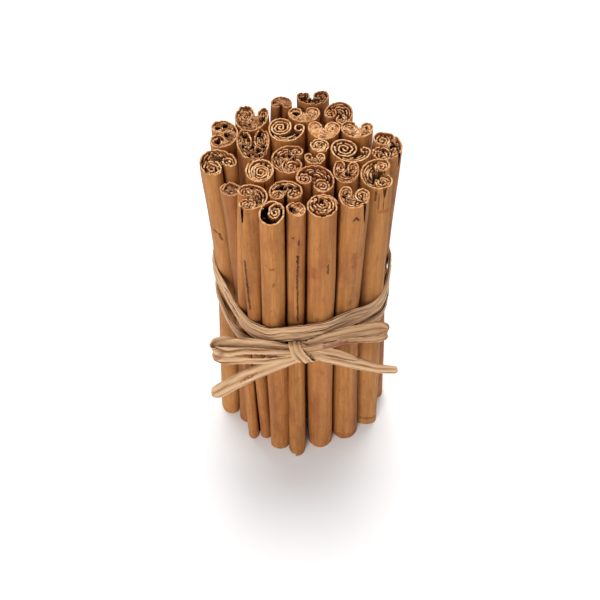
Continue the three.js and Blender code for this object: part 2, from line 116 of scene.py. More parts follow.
QUILLS = [
    Quill(
        -90, (0.46, 0.46), ((-0.7, -1.0, 0.42),),
        gaps=0.1, ragged=0.12, sheets=1, tone=-0.4, rosy=0.3, mealy=0.4,
    ),
    Quill(
        100, (0.42, 0.50), ((-2.9, 0.6, 1.0), (1.0, -0.2, 0.7), (2.6, 0.4, 0.7)),
        hollow=(0.8, 0.5), sunk=(0.5, 0.6), ragged=0.45, gaps=0.9, rosy=0.2, tone=-0.4, mealy=0.3,
    ),
    Quill(
        70, (0.60, 0.35),
        ((3.6, 0.6, 0.5), (3.5, -0.5, 0.4), (1.8, 3.2, 0.35), (-2.9, 1.6, 0.35), (-0.1, 2.0, 0.35)),
        pitch=0.7, ragged=0.45, crumbs=60, gaps=0.45, sheets=3, tone=-0.1, mealy=0.5,
    ),
    Quill(
        92, (0.47, 0.47), ((-1.9, 0.9, 0.9), (0.0, 2.2, 0.6)),
        hollow=(1.0, 0.35), gaps=0.2, ragged=0.25, mealy=0.3,
    ),
    Quill(
        235, (0.46, 0.44), ((0.2, -1.3, 0.6), (-2.0, -1.3, 0.4), (1.6, 1.2, 0.3)),
        gaps=0.75, rosy=0.35, ragged=0.3, tone=-0.25, neat=0.5, sheets=4,
    ),
    Quill(
        178, (0.50, 0.42), ((0.2, 3.4, 0.7), (0.8, 0.1, 0.7), (-1.3, -1.8, 1.0)),
        hollow=(1.0, 0.8), gaps=0.35, ragged=0.3, sheets=3, mealy=0.35,
    ),
    Quill(
        55, (0.64, 0.31),
        (
            (-0.8, -1.1, 0.35), (-2.1, -2.0, 0.35), (-4.0, -0.9, 0.4),
            (2.2, -0.9, 0.4), (1.8, -3.2, 0.45), (3.7, -1.8, 0.75),
        ),
        pitch=0.85, hollow=(0.35, 0.8), gaps=0.5, ragged=0.2, neat=0.8, tone=0.15,
    ),
    Quill(90, (0.46, 0.50), gaps=0.0, sunk=(0.1, 0.1), ragged=0.12, sheets=3, mealy=0.3),
    Quill(
        78, (0.54, 0.40), ((-2.5, 1.8, 0.35), (-1.0, 1.6, 0.25), (0.3, 3.0, 0.5)),
        hollow=(0.35, 0.6), gaps=0.2, ragged=0.25, tone=0.05, mealy=0.3,
    ),
    Quill(
        96, (0.48, 0.48),
        (
            (-3.0, 0.0, 0.5), (-0.3, -0.4, 0.65), (2.9, 0.0, 0.45),
            (-2.4, 3.4, 0.7), (1.7, 3.4, 0.7), (0.7, 2.4, 0.6), (-1.2, 2.2, 0.5),
        ),
        crumbs=70, ragged=1.0, gaps=0.8, mealy=0.5, sheets=3,
    ),
    Quill(
        172, (0.50, 0.46), ((-3.6, -0.2, 0.5), (-1.1, -1.0, 0.45), (-0.7, -2.7, 0.35), (-2.6, 1.9, 0.35)),
        ragged=0.35, gaps=0.7, cracks=((-42, 4.0),), mealy=0.35,
        marks=(Mark((-15, 96), (-15, 93), 0.4, 0.7),),
    ),
    Quill(
        -48, (0.40, 0.56),
        ((-2.3, -3.4, 0.45), (-2.9, -2.3, 0.4), (-1.0, 2.8, 0.4), (1.6, 0.7, 0.3), (-1.4, -1.6, 0.3)),
        pitch=0.8, ragged=0.6, gaps=0.7, rosy=-0.25, tone=0.2, cracks=((190, 1.6),), neat=0.4,
        mealy=0.15,
        marks=(
            Mark((-125, 79), (-107, 78), 0.4, 0.75),
            Mark((-107, 78), (-100, 76), 0.4, 0.7),
        ),
    ),
    Quill(
        5, (0.36, 0.58),
        ((-2.2, 1.2, 0.4), (-0.9, 1.5, 0.45), (0.6, 1.4, 0.5), (1.9, 0.7, 0.45), (3.2, -1.5, 0.4)),
        pitch=0.75, gaps=0.6, rosy=0.3, sheets=3, mealy=0.15,
    ),
    Quill(
        200, (1.5,), ((0.6, 0.6, 0.4), (-1.0, -0.1, 0.3), (1.6, 1.0, 0.25)),
        gaps=0.5, neat=0.7, tone=0.1,
    ),
    Quill(
        48, (0.68, 0.28),
        (
            (-3.5, 2.4, 0.5), (-3.7, -0.5, 0.45), (-1.4, 3.5, 0.35), (4.4, -0.7, 0.5),
            (1.6, -2.9, 0.35), (3.3, 1.2, 0.35), (0.0, 0.6, 0.35),
        ),
        pitch=0.95, hollow=(0.35, 0.5), gaps=0.6, rosy=0.2, tone=0.1, neat=1.0, ragged=0.25,
    ),
    Quill(92, (0.46, 0.46), ((-0.9, 1.4, 0.6),), gaps=0.35, mealy=0.2),
    Quill(
        -122, (0.50, 0.44),
        ((-1.3, -2.0, 0.5), (3.2, -0.3, 0.65), (-1.0, 1.3, 0.4), (-3.4, 2.0, 0.3), (0.2, -3.0, 0.4)),
        gaps=0.8, rosy=0.55, ragged=0.35, sheets=3, tone=0.1, neat=0.4, mealy=0.15,
    ),
    Quill(
        140, (2.1,), ((0.4, 2.2, 0.35), (1.8, 1.9, 0.35), (2.8, 1.0, 0.35), (-1.0, -1.2, 0.35)),
        lean=((0.3, -0.4), (0, 0)), gaps=0.35, neat=0.8, tone=0.15,
    ),
    Quill(120, (1.5,), gaps=0.5, rosy=0.3, tone=-0.35, sunk=(0.5, 0.5), neat=0.2, mealy=0.5),
    Quill(
        84, (0.44, 0.46), ((0.4, -0.2, 0.75), (1.1, 1.1, 0.5), (-0.3, 1.8, 0.45)),
        gaps=0.5, rosy=0.3, tone=-0.05, mealy=0.2,
    ),
    Quill(
        8, (0.44, 0.50), ((0.0, -0.4, 0.7), (1.0, 0.6, 0.65), (2.2, 0.2, 0.6), (-0.9, -1.4, 0.45)),
        gaps=0.5, rosy=-0.2, tone=0.2, sheets=3, cracks=((-62, 4.0),), neat=0.3, mealy=0.15,
        marks=(
            Mark((-90, 97), (-90, 94), 0.4, 0.7),
            Mark((-80, 96), (-80, 91), 0.25, 0.5),
            Mark((-75, 90), (-45, 90), 0.7, 0.5, red=True),
            Mark((-110, 3), (-40, 3), 0.5, 0.5),
        ),
    ),
    Quill(
        184, (0.50, 0.44), gaps=0.35, sunk=(0.2, 0.2), crumbs=50, ragged=0.2, rosy=0.1,
        twist=86, cracks=((-128, 5.0),), sheets=3, neat=0.2, mealy=0.4,
        marks=(
            Mark((-135, 80), (-125, 73), 0.4, 0.8),
            Mark((-125, 73), (-115, 61), 0.4, 0.8),
            Mark((-140, 71), (-136, 70), 0.6, 0.6),
        ),
    ),
    Quill(
        -88, (0.46, 0.46), ((-0.7, 1.0, 1.0), (1.2, 1.3, 0.6), (3.0, 1.2, 0.35), (-2.3, 0.6, 0.5)),
        gaps=0.6, tone=-0.15, mealy=0.1,
    ),
    Quill(
        82, (0.44, 0.50),
        ((-2.4, 0.9, 0.55), (-1.4, 1.6, 0.4), (2.2, 1.9, 0.5), (2.2, 0.2, 0.55), (0.9, 1.2, 0.3)),
        gaps=0.4, tone=0.1, cracks=((-40, 6.5),), sheets=3, mealy=0.1,
        marks=(
            Mark((-65, 95), (-80, 96), 0.4, 0.85),
            Mark((-80, 96), (-88, 95), 0.4, 0.8),
            Mark((-70, 82), (-65, 77), 0.9, 0.6, red=True),
            Mark((-75, 63), (-75, 62), 0.6, 0.3),
            Mark((-130, 1), (-40, 1), 1.6, 0.5, red=True),
        ),
    ),
    Quill(
        30, (1.6,), ((-1.6, 0.2, 0.5), (-1.3, -1.2, 0.55), (0.0, -2.2, 0.5)),
        lean=((0.5, 0.7), (0, 0)), loose=0.8, sunk=(0.6, 0), gaps=0.8, neat=0.6,
        marks=(
            Mark((-98, 81), (-82, 81), 0.4, 0.5),
            Mark((-90, 75), (-90, 74), 0.5, 0.4),
        ),
    ),
    Quill(
        -95, (1.2,), ((-1.3, 0.3, 0.55), (-1.1, 1.0, 0.45), (-0.9, -0.7, 0.4)),
        pitch=0.8, lean=((0.75, 0.1), (0, 0)), gaps=0.3, ragged=0.45, mealy=0.3,
        marks=(
            Mark((-115, 91), (-108, 91), 0.3, 0.8),
            Mark((-72, 91), (-70, 89), 0.3, 0.8),
            Mark((-70, 88), (-70, 86), 0.6, 0.5, red=True),
            Mark((-76, 85), (-76, 83), 0.45, 0.9),
            Mark((-76, 83), (-78, 58), 0.35, 0.8),
        ),
    ),
    Quill(
        10, (2.2,),
        ((-0.8, 1.0, 0.95), (-2.2, -0.2, 0.45), (-3.2, 0.4, 0.3), (-2.2, -2.4, 0.35), (-1.5, 3.0, 0.3)),
        pitch=0.8, sunk=(-0.8, 0), gaps=0.5, rosy=0.3, neat=0.35, mealy=0.1,
        marks=(
            Mark((-65, 81), (-65, 78), 0.4, 0.75),
            Mark((-125, 79), (-122, 76), 0.9, 0.45, red=True),
        ),
    ),
]


def turned(flat, angle):
    """A point of the plane turned about the origin by an angle in radians."""
    cos, sin = math.cos(angle), math.sin(angle)
    return Vector((flat[0] * cos - flat[1] * sin, flat[0] * sin + flat[1] * cos))


def heading(degrees):
    return Vector((math.cos(math.radians(degrees)), math.sin(math.radians(degrees))))


def smooth(value, low, high):
    """0 below low, 1 above high, and an even rise between."""
    share = min(1.0, max(0.0, (value - low) / (high - low)))
    return share * share * (3 - 2 * share)


def wave(x, y=0.0, z=0.0):
    """Smooth noise from about -1 to 1."""
    return noise.noise(Vector((x, y, z)))


class Spot(NamedTuple):
    """A point of the rolled section: its place, how far it is wound in and in which curl."""

    at: Vector
    wound: float = 0.0
    curl: int = 0


def wind(middle, radius, start, sense, quill, curl, seed):
    """Spots along a curl, from the outer wall inwards. Lengths are in millimetres."""
    spots = []
    wound, left = 0.0, radius
    plain = len(quill.curls) == 1
    lean = turned(quill.lean[curl], -math.radians(quill.seam - 90))
    while left > quill.hollow[curl] and wound < MOST_WOUND:
        step = min(20.0, max(5.0, math.degrees(0.22 / left)))
        wound += step
        if plain:
            tight = 0.75 if wound < 360 else 1.0
        else:
            tight = 0.45 if wound < 200 else 1.0
        uneven = 1 + 0.35 * wave(wound / 140, seed, curl)
        left -= quill.pitch * step / 360 * tight * uneven
        if 270 < wound < 430:
            left -= quill.loose * step / 160
        pressed = 0.08 * radius * (1 - smooth(wound, 0, 70)) if plain else 0.0
        angle = start + sense * wound
        around = heading(angle)
        dent = wave(around.x * 1.8, around.y * 1.8, seed + wound / 400)
        dent += 0.5 * wave(around.x * 4.5, around.y * 4.5, seed + wound / 300)
        dent *= min(0.24, 0.3 * left) * smooth(wound, 90, 400)
        shift = lean * smooth(wound, 150, 420)
        spots.append(Spot(middle + shift + around * (left + dent - pressed), wound, curl))
    return spots


class Roll:
    """The section of a quill, its seam facing +Y, centred on its box, in millimetres.

    line is the outer face of the main sheet, nested holds the arcs of thinner sheets that
    lie inside it, outline is the closed edge of the whole section, and eyes are the open
    middles of the curls."""

    def __init__(self, quill, size, seed):
        half = min(size) / 2
        if len(quill.curls) == 1:
            self.roll_plain(quill, half, seed)
        else:
            self.roll_double(quill, half, seed)
        low = Vector((min(s.at.x for s in self.line), min(s.at.y for s in self.line)))
        high = Vector((max(s.at.x for s in self.line), max(s.at.y for s in self.line)))
        middle, span = (low + high) / 2, high - low
        stretch = Vector((size[0] / span.x, size[1] / span.y))

        def fit(spots):
            return [Spot((s.at - middle) * stretch, s.wound, s.curl) for s in spots]

        self.size = size
        self.eyes = [((eye - middle) * stretch, radius) for eye, radius in self.eyes]
        self.line = fit(self.line)
        self.nested = [fit(arc) for arc in self.nested]
        self.outline = [s.at for s in fit(self.outline)]

    def skin_at(self, degrees):
        """The length along the main sheet where its skin faces a direction of the section.
        A mark's two ends lie on the same side of the seam, where the length jumps."""
        found = []
        for spot, length in zip(self.line, measured(self.line)):
            off = (math.degrees(math.atan2(spot.at.y, spot.at.x)) - degrees + 180) % 360 - 180
            if spot.wound < SKIN_WOUND:
                found.append((abs(off), length))
        return min(found)[1]

    def roll_plain(self, quill, half, seed):
        line = wind(Vector((0, 0)), half, 90, 1, quill, 0, seed)
        eye = turned(quill.lean[0], -math.radians(quill.seam - 90))
        self.eyes = [(eye, quill.hollow[0])]
        self.outline = [s for s in line if s.wound <= PLAIN_CLOSED]
        self.line = [Spot(s.at, max(0.0, s.wound - PLAIN_SKIN), s.curl) for s in line]
        self.nested = []

    def roll_double(self, quill, half, seed):
        left, right = quill.curls
        to_left, to_right = 1 - left, 1 - right
        apart = left + right + ROLL_GAP / half
        cosine = (to_left**2 + to_right**2 - apart**2) / (2 * to_left * to_right)
        opening = math.degrees(math.acos(max(-1.0, cosine)))
        first = 90 + opening * to_right / (to_left + to_right)
        last = 450 - opening * to_left / (to_left + to_right)
        left_middle = heading(first) * to_left * half
        right_middle = heading(last) * to_right * half
        left_curl = wind(left_middle, left * half, first, -1, quill, 0, seed)
        right_curl = wind(right_middle, right * half, last, 1, quill, 1, seed + 7)
        arc = self.arc(half, first, last, quill)
        self.line = left_curl[::-1] + arc + right_curl
        self.eyes = [(left_middle, quill.hollow[0]), (right_middle, quill.hollow[1])]

        bridge = right_middle - left_middle
        facing = math.degrees(math.atan2(bridge.y, bridge.x))
        left_reach = (first - facing) % 360
        right_reach = (facing + 180 - last) % 360
        self.outline = [s for s in left_curl if s.wound <= left_reach][::-1] + arc
        self.outline += [s for s in right_curl if s.wound <= right_reach]

        self.nested = []
        for count in range(1, quill.sheets + 1):
            clear = [
                s
                for s in self.arc(half - NESTED_SPACING * count, first, last)
                if (s.at - left_middle).length > left * half + 0.3
                and (s.at - right_middle).length > right * half + 0.3
            ]
            if len(clear) > 4:
                self.nested.append(clear)

    @staticmethod
    def arc(radius, first, last, quill=None):
        """Spots along the arc, closer together where the bark is split."""
        steps = max(4, round((last - first) / 5))
        angles = [first + (last - first) * i / steps for i in range(steps + 1)]
        for direction, _ in quill.cracks if quill else ():
            split = first + (direction - quill.seam + 90 - first) % 360
            if split < last:
                angles = [a for a in angles if abs(a - split) > 6.0]
                angles += [split + off for off in (-5.2, -4.2, -3.2, 0, 3.2, 4.2, 5.2)]
        return [Spot(heading(angle) * radius) for angle in sorted(angles)]


class Axis:
    """Where a packed stick stands: its place and turn at the foot, the waist and the top."""

    def __init__(self, node, quill, seed=0.0):
        points = [v.co / MM for v in node.data.vertices]
        self.seed = seed
        self.rings = []
        for height in (0.0, WAIST_HEIGHT, QUILL_LENGTH):
            reach = 8.0 if height == QUILL_LENGTH else 0.5
            ring = [p for p in points if abs(p.z - height) < reach]
            share = height / QUILL_LENGTH
            turn = math.radians(quill.seam - 90 + quill.twist * (1 - share))
            flat = [turned(p.xy, -turn) for p in ring]
            low = Vector((min(p.x for p in flat), min(p.y for p in flat)))
            high = Vector((max(p.x for p in flat), max(p.y for p in flat)))
            self.rings.append((height, turned((low + high) / 2, turn), turn))
            self.size = tuple(high - low)
        middle = sum(p.y for p in ring) / len(ring)
        level = sum(p.z for p in ring) / len(ring)
        spread = sum((p.y - middle) ** 2 for p in ring)
        self.slope = sum((p.y - middle) * (p.z - level) for p in ring) / spread
        self.top = level + self.slope * (self.rings[2][1].y - middle)

    def at(self, height):
        """The axis point and the turn at a height in millimetres."""
        upper = 1 if height < WAIST_HEIGHT else 2
        (low, start, turn_a), (high, end, turn_b) = self.rings[upper - 1 : upper + 1]
        share = (height - low) / (high - low)
        bow = Vector((wave(height / 30, self.seed), wave(height / 30, self.seed + 9)))
        bow *= 0.3 * smooth(height, 0, 20) * (1 - smooth(height, 75, 95))
        return start.lerp(end, share) + bow, turn_a + (turn_b - turn_a) * share


def drift_of(index):
    """How far the patterns are shifted on a quill, so that no two look alike."""
    return index * 1.7


def roll_of(index, quill, axis):
    """The section of a quill, as large as its packed stick."""
    return Roll(quill, axis.size, index * 3.1)


def skin_marks(axes):
    """The start and the end of every quill's marks on its skin, and the mark itself."""
    found = []
    for index, (quill, axis) in enumerate(zip(QUILLS, axes), start=1):
        roll = roll_of(index, quill, axis)
        for mark in quill.marks:
            ends = []
            for facing, height in (mark.start, mark.end):
                along = roll.skin_at(facing - math.degrees(axis.at(height)[1]))
                ends.append(Vector((along * MM, height * MM, drift_of(index))))
            found.append((*ends, mark))
    return found


CORE_LEVELS = (QUILL_LENGTH - 9.0, 75.0, WAIST_HEIGHT, 35.0, 15.0, FOOT_HOLLOW)
ROW_HEIGHTS = (
    [0, 0.5, 1.4, 3.5]
    + [8 + 9.6 * i for i in range(9)]
    + [88.5, 91.5, 94, 96, 97.4, 98.5, 99.3, 100]
)


def bend_sheet(bm, columns, rows, thickness, place, torn=None):
    """A grid bent by place(column, row) and given its thickness on the left of the columns.
    place gives the point, its uv and the vertex's layer values. torn(along, across) says
    where the sheet is missing. Returns the shell's outer, inner and rim faces."""
    made = bmesh.ops.create_grid(bm, x_segments=columns, y_segments=rows, size=0.5)
    uv = bm.loops.layers.uv.active
    outer_verts = set(made["verts"])
    flat = {}
    if torn:
        cells = {face: face.calc_center_median() for v in made["verts"] for face in v.link_faces}
        gone = [face for face, co in cells.items() if torn(co.x + 0.5, co.y + 0.5)]
        bmesh.ops.delete(bm, geom=gone, context="FACES")
        outer_verts = {vert for vert in outer_verts if vert.is_valid}
    for vert in outer_verts:
        column = round((vert.co.x + 0.5) * columns)
        row = round((vert.co.y + 0.5) * rows)
        vert.co, flat[vert], values = place(column, row)
        for layer, value in values.items():
            vert[layer] = value
    outer = {face for vert in outer_verts for face in vert.link_faces}
    for face in outer:
        face.normal_update()
        for loop in face.loops:
            loop[uv].uv = flat[loop.vert]
    inwards = {}
    for vert in outer_verts:
        vert.normal_update()
        uneven = 1 + 0.25 * wave(*(vert.co / MM * 0.8))
        inwards[vert.co.to_tuple()] = -vert.normal * thickness * uneven
    made = bmesh.ops.extrude_face_region(bm, geom=list(outer), use_keep_orig=True)["geom"]
    inner_verts = {vert for vert in made if isinstance(vert, bmesh.types.BMVert)}
    for vert in inner_verts:
        vert.co += inwards[vert.co.to_tuple()]
    shell = {face for vert in inner_verts for face in vert.link_faces}
    rim = [face for face in shell if any(vert in outer_verts for vert in face.verts)]
    inner = list(shell.difference(rim))
    bmesh.ops.recalc_face_normals(bm, faces=[*outer, *shell])
    return list(outer), inner, rim


def measured(line):
    """The length along a line of spots at each of them."""
    length = [0.0]
    for a, b in zip(line, line[1:]):
        length.append(length[-1] + (b.at - a.at).length)
    return length


def left_of(line, i):
    """The direction to the left of the line at a spot, which is into the bark."""
    along = (line[min(len(line) - 1, i + 1)].at - line[max(0, i - 1)].at).normalized()
    return Vector((-along.y, along.x))


def finish_piece(bm, name):
    """An object with the bmesh as its mesh. The bmesh is freed."""
    mesh = bpy.data.meshes.new(name)
    bm.to_mesh(mesh)
    bm.free()
    piece = bpy.data.objects.new(name, mesh)
    bpy.context.scene.collection.objects.link(piece)
    return piece


class QuillMaker:
    """Builds one quill's mesh from its row, its packed stick and its section."""

    def __init__(self, index, quill, axes, settings):
        self.index, self.quill, self.seed = index, quill, index * 5.3
        self.axis = axes[index - 1]
        self.neighbours = [self.neighbours_at(level, axes) for level in ROW_HEIGHTS]
        self.roll = roll_of(index, quill, self.axis)
        turn = -self.axis.rings[2][2]
        self.holes = [(turned((x, y), turn), radius) for x, y, radius in quill.holes]
        self.holes += [(eye, radius * 0.8) for eye, radius in self.roll.eyes]
        self.bark = settings.bark_thickness / MM
        self.random = random.Random(index + 11)
        self.bm = bmesh.new()
        self.uv = self.bm.loops.layers.uv.new("sheet")
        names = ("below", "tone", "rosy", "drift", "wound", "near", "outer")
        self.layers = {name: self.bm.verts.layers.float.new(name) for name in names}

    def build(self):
        self.add_sheet(self.roll.line, 0, self.bark)
        for count, arc in enumerate(self.roll.nested, start=1):
            self.add_sheet(arc, count, NESTED_THICKNESS)
        self.add_filling()
        self.add_crumbs()
        return finish_piece(self.bm, f"quill_{self.index:02d}")

    def neighbours_at(self, level, axes):
        """The middle, turn and half sizes of the quills close to this one at a height."""
        middle, _ = self.axis.at(level)
        found = []
        for other in axes:
            centre, turn = other.at(level)
            if other is not self.axis and (centre - middle).length < NEIGHBOUR_REACH:
                found.append((centre, turn, other.size[0] / 2, other.size[1] / 2))
        return found

    def nearness(self, flat, row):
        """1 where a neighbour touches the skin at a point, 0 where none is close. The side skin gets
        painted shade by it.
        """
        gap = 2.0
        for centre, turn, half_x, half_y in self.neighbours[row]:
            offset = turned(flat - centre, -turn)
            share = math.hypot(offset.x / half_x, offset.y / half_y)
            gap = min(gap, (share - 1) * min(half_x, half_y))
        return 1 - smooth(gap, 0.0, 1.4)

    def values(self, below):
        """The layer values of a vertex that lies some millimetres below the rim."""
        return {
            self.layers["below"]: below,
            self.layers["tone"]: self.quill.tone,
            self.layers["rosy"]: self.quill.rosy,
            self.layers["drift"]: drift_of(self.index),
        }

    def cut_height(self, flat, wound, curl):
        """The height of the cut at a point of the section, before it is broken."""
        offset = turned(flat, self.axis.rings[2][2])
        high = self.axis.top + self.axis.slope * offset.y
        return high - smooth(wound, 100, 380) * self.quill.sunk[curl]

    def rim_height(self, spot, along, sheet):
        """How high the broken edge stands at a spot of a sheet."""
        quill = self.quill
        inner = max(smooth(spot.wound, 60, 240), min(1.0, sheet))
        ragged = quill.ragged * (1 - 0.6 * quill.neat * inner)
        high = self.cut_height(spot.at, spot.wound, spot.curl)
        high += ragged * wave(along * 0.9, self.index, sheet * 3.3)
        high += ragged * 0.6 * wave(along * 2.4, self.index, sheet * 5.1)
        high -= 0.8 * smooth(wave(along * 1.1, self.index + 80, sheet), 0.3, 0.5) * ragged
        high += ragged * 0.3 * wave(along * 5.2, self.index + 17, sheet * 1.7)
        high -= inner * (self.hole_depth(spot.at) + quill.mealy)
        bite = smooth(wave(along * 1.4, self.index + 60, sheet * 2.3), 0.08, 0.34)
        high -= inner * bite * (0.4 + quill.gaps) * (1 - quill.neat)
        return high - sheet * 0.12

    def split_depth(self, spot):
        """How deep a crack of the outer sheet runs down at a spot."""
        offset = turned(spot.at, self.axis.rings[2][2])
        facing = math.degrees(math.atan2(offset.y, offset.x))
        split = 0.0
        for direction, depth in self.quill.cracks:
            off = abs((facing - direction + 180) % 360 - 180)
            if spot.wound < SKIN_WOUND:
                split = max(split, depth * (1 - smooth(off, 3.2, 5.2)))
        return split

    def add_sheet(self, line, sheet, thickness):
        """A sheet of bark standing on a line of spots, with its broken top edge."""
        lengths = measured(line)

        def place(column, row):
            spot, level, along = line[column], ROW_HEIGHTS[row], lengths[column]
            split = self.split_depth(spot) if sheet == 0 else 0.0
            top = self.rim_height(spot, along, sheet) - split
            foot = abs(0.3 * wave(along * 1.3, self.index + 40, sheet)) * (level < 3)
            z = level + foot + (top - QUILL_LENGTH) * smooth(level, 86, 100)
            middle, turn = self.axis.at(level)
            swell = 0.13 * wave(z / 16, self.index, along / 5)
            swell += 0.07 * wave(along / 1.6, self.index + 30, z / 90)
            flat = middle + turned(spot.at - left_of(line, column) * swell, turn)
            # depth below the rim or above the foot, deeper along cracks: the finishes paint shade by it
            values = self.values(min(top - z, z) + 2 * split)
            values[self.layers["wound"]] = spot.wound
            outer = (1 - smooth(spot.wound, 0, 200)) * (sheet == 0)
            values[self.layers["outer"]] = outer * (1 - self.quill.neat)
            # painted shade between quills: nearness to the neighbours, weaker towards the foot; spots
            # wound in behind the outer turn get it in full
            near = self.nearness(flat, row) * (0.45 + 0.55 * smooth(z, 25, 60))
            values[self.layers["near"]] = near if spot.wound < HIDDEN_WOUND else 1.0
            return Vector((flat.x, flat.y, z)) * MM, (along * MM, z * MM), values

        outer, inner, rim = bend_sheet(
            self.bm, len(line) - 1, len(ROW_HEIGHTS) - 1, thickness * MM, place
        )
        for faces, material in ((outer, INSIDE if sheet else SIDE), (inner, INSIDE), (rim, CUT)):
            for face in faces:
                face.material_index = material
                face.smooth = True
        wound = self.layers["wound"]
        for face in outer:
            if min(vert[wound] for vert in face.verts) > HIDDEN_WOUND:
                face.material_index = INSIDE
        for edge in {edge for face in rim for edge in face.edges}:
            edge.smooth = False

    def add_filling(self):
        """The crumbly mass of thin layers between the windings at the top, with its holes."""
        bm, roll = self.bm, self.roll
        low = Vector((-roll.size[0] / 2, -roll.size[1] / 2))
        columns, rows = (math.ceil(side / FILLING_CELL) for side in roll.size)
        made = bmesh.ops.create_grid(bm, x_segments=columns, y_segments=rows, size=0.5)["verts"]
        walls, wall_spots = self.wall_tree()
        edge_tree = tree_of(dense(roll.outline + roll.outline[:1]))
        crossings = [
            crossings_of(roll.outline, low.y + roll.size[1] * row / rows) for row in range(rows + 1)
        ]
        outside = []
        middle, turn = self.axis.at(QUILL_LENGTH)
        flats = {}
        for vert in made:
            flat = low + Vector(((vert.co.x + 0.5) * roll.size[0], (vert.co.y + 0.5) * roll.size[1]))
            row = crossings[round((vert.co.y + 0.5) * rows)]
            inside = sum(x > flat.x for x in row) % 2 == 1
            if not inside or edge_tree.find((flat.x, flat.y, 0))[2] < self.bark * 0.5:
                outside.append(vert)
                continue
            _, nearest, off = walls.find((flat.x, flat.y, 0))
            spot, along = wall_spots[nearest]
            depth = self.filling_depth(flat, off - self.bark / 2, along)
            z = self.cut_height(flat, spot.wound, spot.curl) - depth
            place = middle + turned(flat, turn)
            vert.co = Vector((place.x, place.y, z)) * MM
            flats[vert] = flat
            # the filling gets painted shade by how deep it lies
            for layer, value in self.values(depth).items():
                vert[layer] = value
        bmesh.ops.delete(bm, geom=outside, context="VERTS")
        top = list({face for vert in flats for face in vert.link_faces})
        for vert in [vert for vert in flats if not vert.link_faces]:
            bm.verts.remove(vert)
            del flats[vert]
        core = list(top)
        rim = list({edge for face in top for edge in face.edges if edge.is_boundary})
        for level in CORE_LEVELS:
            old = {vert for edge in rim for vert in edge.verts}
            made = bmesh.ops.extrude_edge_only(bm, edges=rim)["geom"]
            new = [v for v in made if isinstance(v, bmesh.types.BMVert)]
            for vert in new:
                source = next(e.other_vert(vert) for e in vert.link_edges if e.other_vert(vert) in old)
                flats[vert] = flats[source]
                middle, turn = self.axis.at(level)
                flat = middle + turned(flats[vert], turn)
                vert.co = Vector((flat.x, flat.y, level)) * MM
                # the core gets full painted deep shade
                vert[self.layers["below"]] = 9.0
            rim = [e for e in made if isinstance(e, bmesh.types.BMEdge) and e.is_boundary]
            core += [f for f in made if isinstance(f, bmesh.types.BMFace)]
        core += bmesh.ops.holes_fill(bm, edges=rim, sides=0)["faces"]
        bmesh.ops.recalc_face_normals(bm, faces=core)
        for face in core:
            face.material_index = INSIDE
        for face in top:
            face.material_index = CUT

    def wall_tree(self):
        """A tree of points along the middle of the main sheet, and the spot of each."""
        line = self.roll.line
        lengths = measured(line)
        points, spots = [], []
        for i in range(len(line) - 1):
            start = line[i].at + left_of(line, i) * self.bark / 2
            end = line[i + 1].at + left_of(line, i + 1) * self.bark / 2
            count = max(1, math.ceil((end - start).length / TREE_SPACING))
            for k in range(count):
                points.append(start.lerp(end, k / count))
                spots.append((line[i], lengths[i] + (lengths[i + 1] - lengths[i]) * k / count))
        for arc in self.roll.nested:
            for i, spot in enumerate(arc):
                points.append(spot.at + left_of(arc, i) * self.bark / 2)
                spots.append((spot, i * 0.5))
        return tree_of(points), spots

    def filling_depth(self, flat, gap, along):
        """How deep the filling lies under the rim at a point, by its distance from the bark."""
        x, y = flat
        gaps, seed = self.quill.gaps, self.seed
        phase = gap / 0.46 + 0.7 * wave(x * 0.8, y * 0.8, seed)
        valley = math.exp(-(((phase % 1.0) - 0.5) ** 2) / 0.02)
        broken = max(0.0, 0.35 + gaps * 0.5 + wave(x * 1.3, y * 1.3, seed + 14))
        depth = 0.12 + (0.5 + gaps) * valley * broken
        depth += gaps * 0.6 * max(0.0, 0.3 + wave(x * 1.0, y * 1.0, seed + 9))
        depth += 0.16 * wave(x * 3.4, y * 3.4, seed + 4) + 0.10 * wave(x * 7, y * 7, seed + 2)
        depth += 0.9 * self.quill.neat * smooth(gap, -0.05, 0.15)
        crevice = math.exp(-((gap / 0.12) ** 2))
        depth += (0.4 + 1.4 * gaps) * crevice * max(0.0, 0.4 + wave(along * 0.6, seed))
        depth += 2.2 * smooth(wave(x * 0.7, y * 0.7, seed + 20) + 0.3 * gaps, 0.52, 0.66)
        return max(0.0, depth + self.hole_depth(flat))

    def hole_depth(self, flat):
        """How deep the holes are at a point of the section."""
        depth = 0.0
        for at, radius in self.holes:
            off = math.hypot(flat.x - at.x, flat.y - at.y)
            off += 0.3 * wave(flat.x * 1.8, flat.y * 1.8, self.seed + 30)
            depth = max(depth, HOLE_DEPTH * (1 - smooth(off, radius * 0.85, radius * 1.15)))
        return depth

    def add_crumbs(self):
        """Broken grains of bark caught between the windings at the top."""
        line, rng = self.roll.line, self.random
        lengths = measured(line)
        middle, turn = self.axis.at(QUILL_LENGTH)
        for _ in range(self.quill.crumbs):
            i = rng.randrange(1, len(line) - 1)
            flat = line[i].at + left_of(line, i) * rng.uniform(0.1, 1.1)
            place = middle + turned(flat, turn)
            top = self.rim_height(line[i], lengths[i], 0) - rng.uniform(0.0, 0.5)
            made = bmesh.ops.create_icosphere(
                self.bm, subdivisions=1, radius=rng.uniform(0.07, 0.18) * MM
            )["verts"]
            tilt = Matrix.Rotation(rng.uniform(0, math.tau), 3, (rng.random(), rng.random(), 1))
            flatness = rng.uniform(0.4, 1.0)
            below = rng.uniform(0.1, 0.7)
            for vert in made:
                vert.co = tilt @ Vector((vert.co.x * 1.6, vert.co.y * flatness, vert.co.z * 0.8))
                vert.co += Vector((place.x, place.y, top)) * MM
                for layer, value in self.values(below).items():
                    vert[layer] = value
            for face in {f for v in made for f in v.link_faces}:
                face.material_index = CUT


def dense(points):
    """The same line of points with more of them between."""
    filled = []
    for start, end in zip(points, points[1:]):
        count = max(1, math.ceil((end - start).length / TREE_SPACING))
        filled += [start.lerp(end, k / count) for k in range(count)]
    return filled


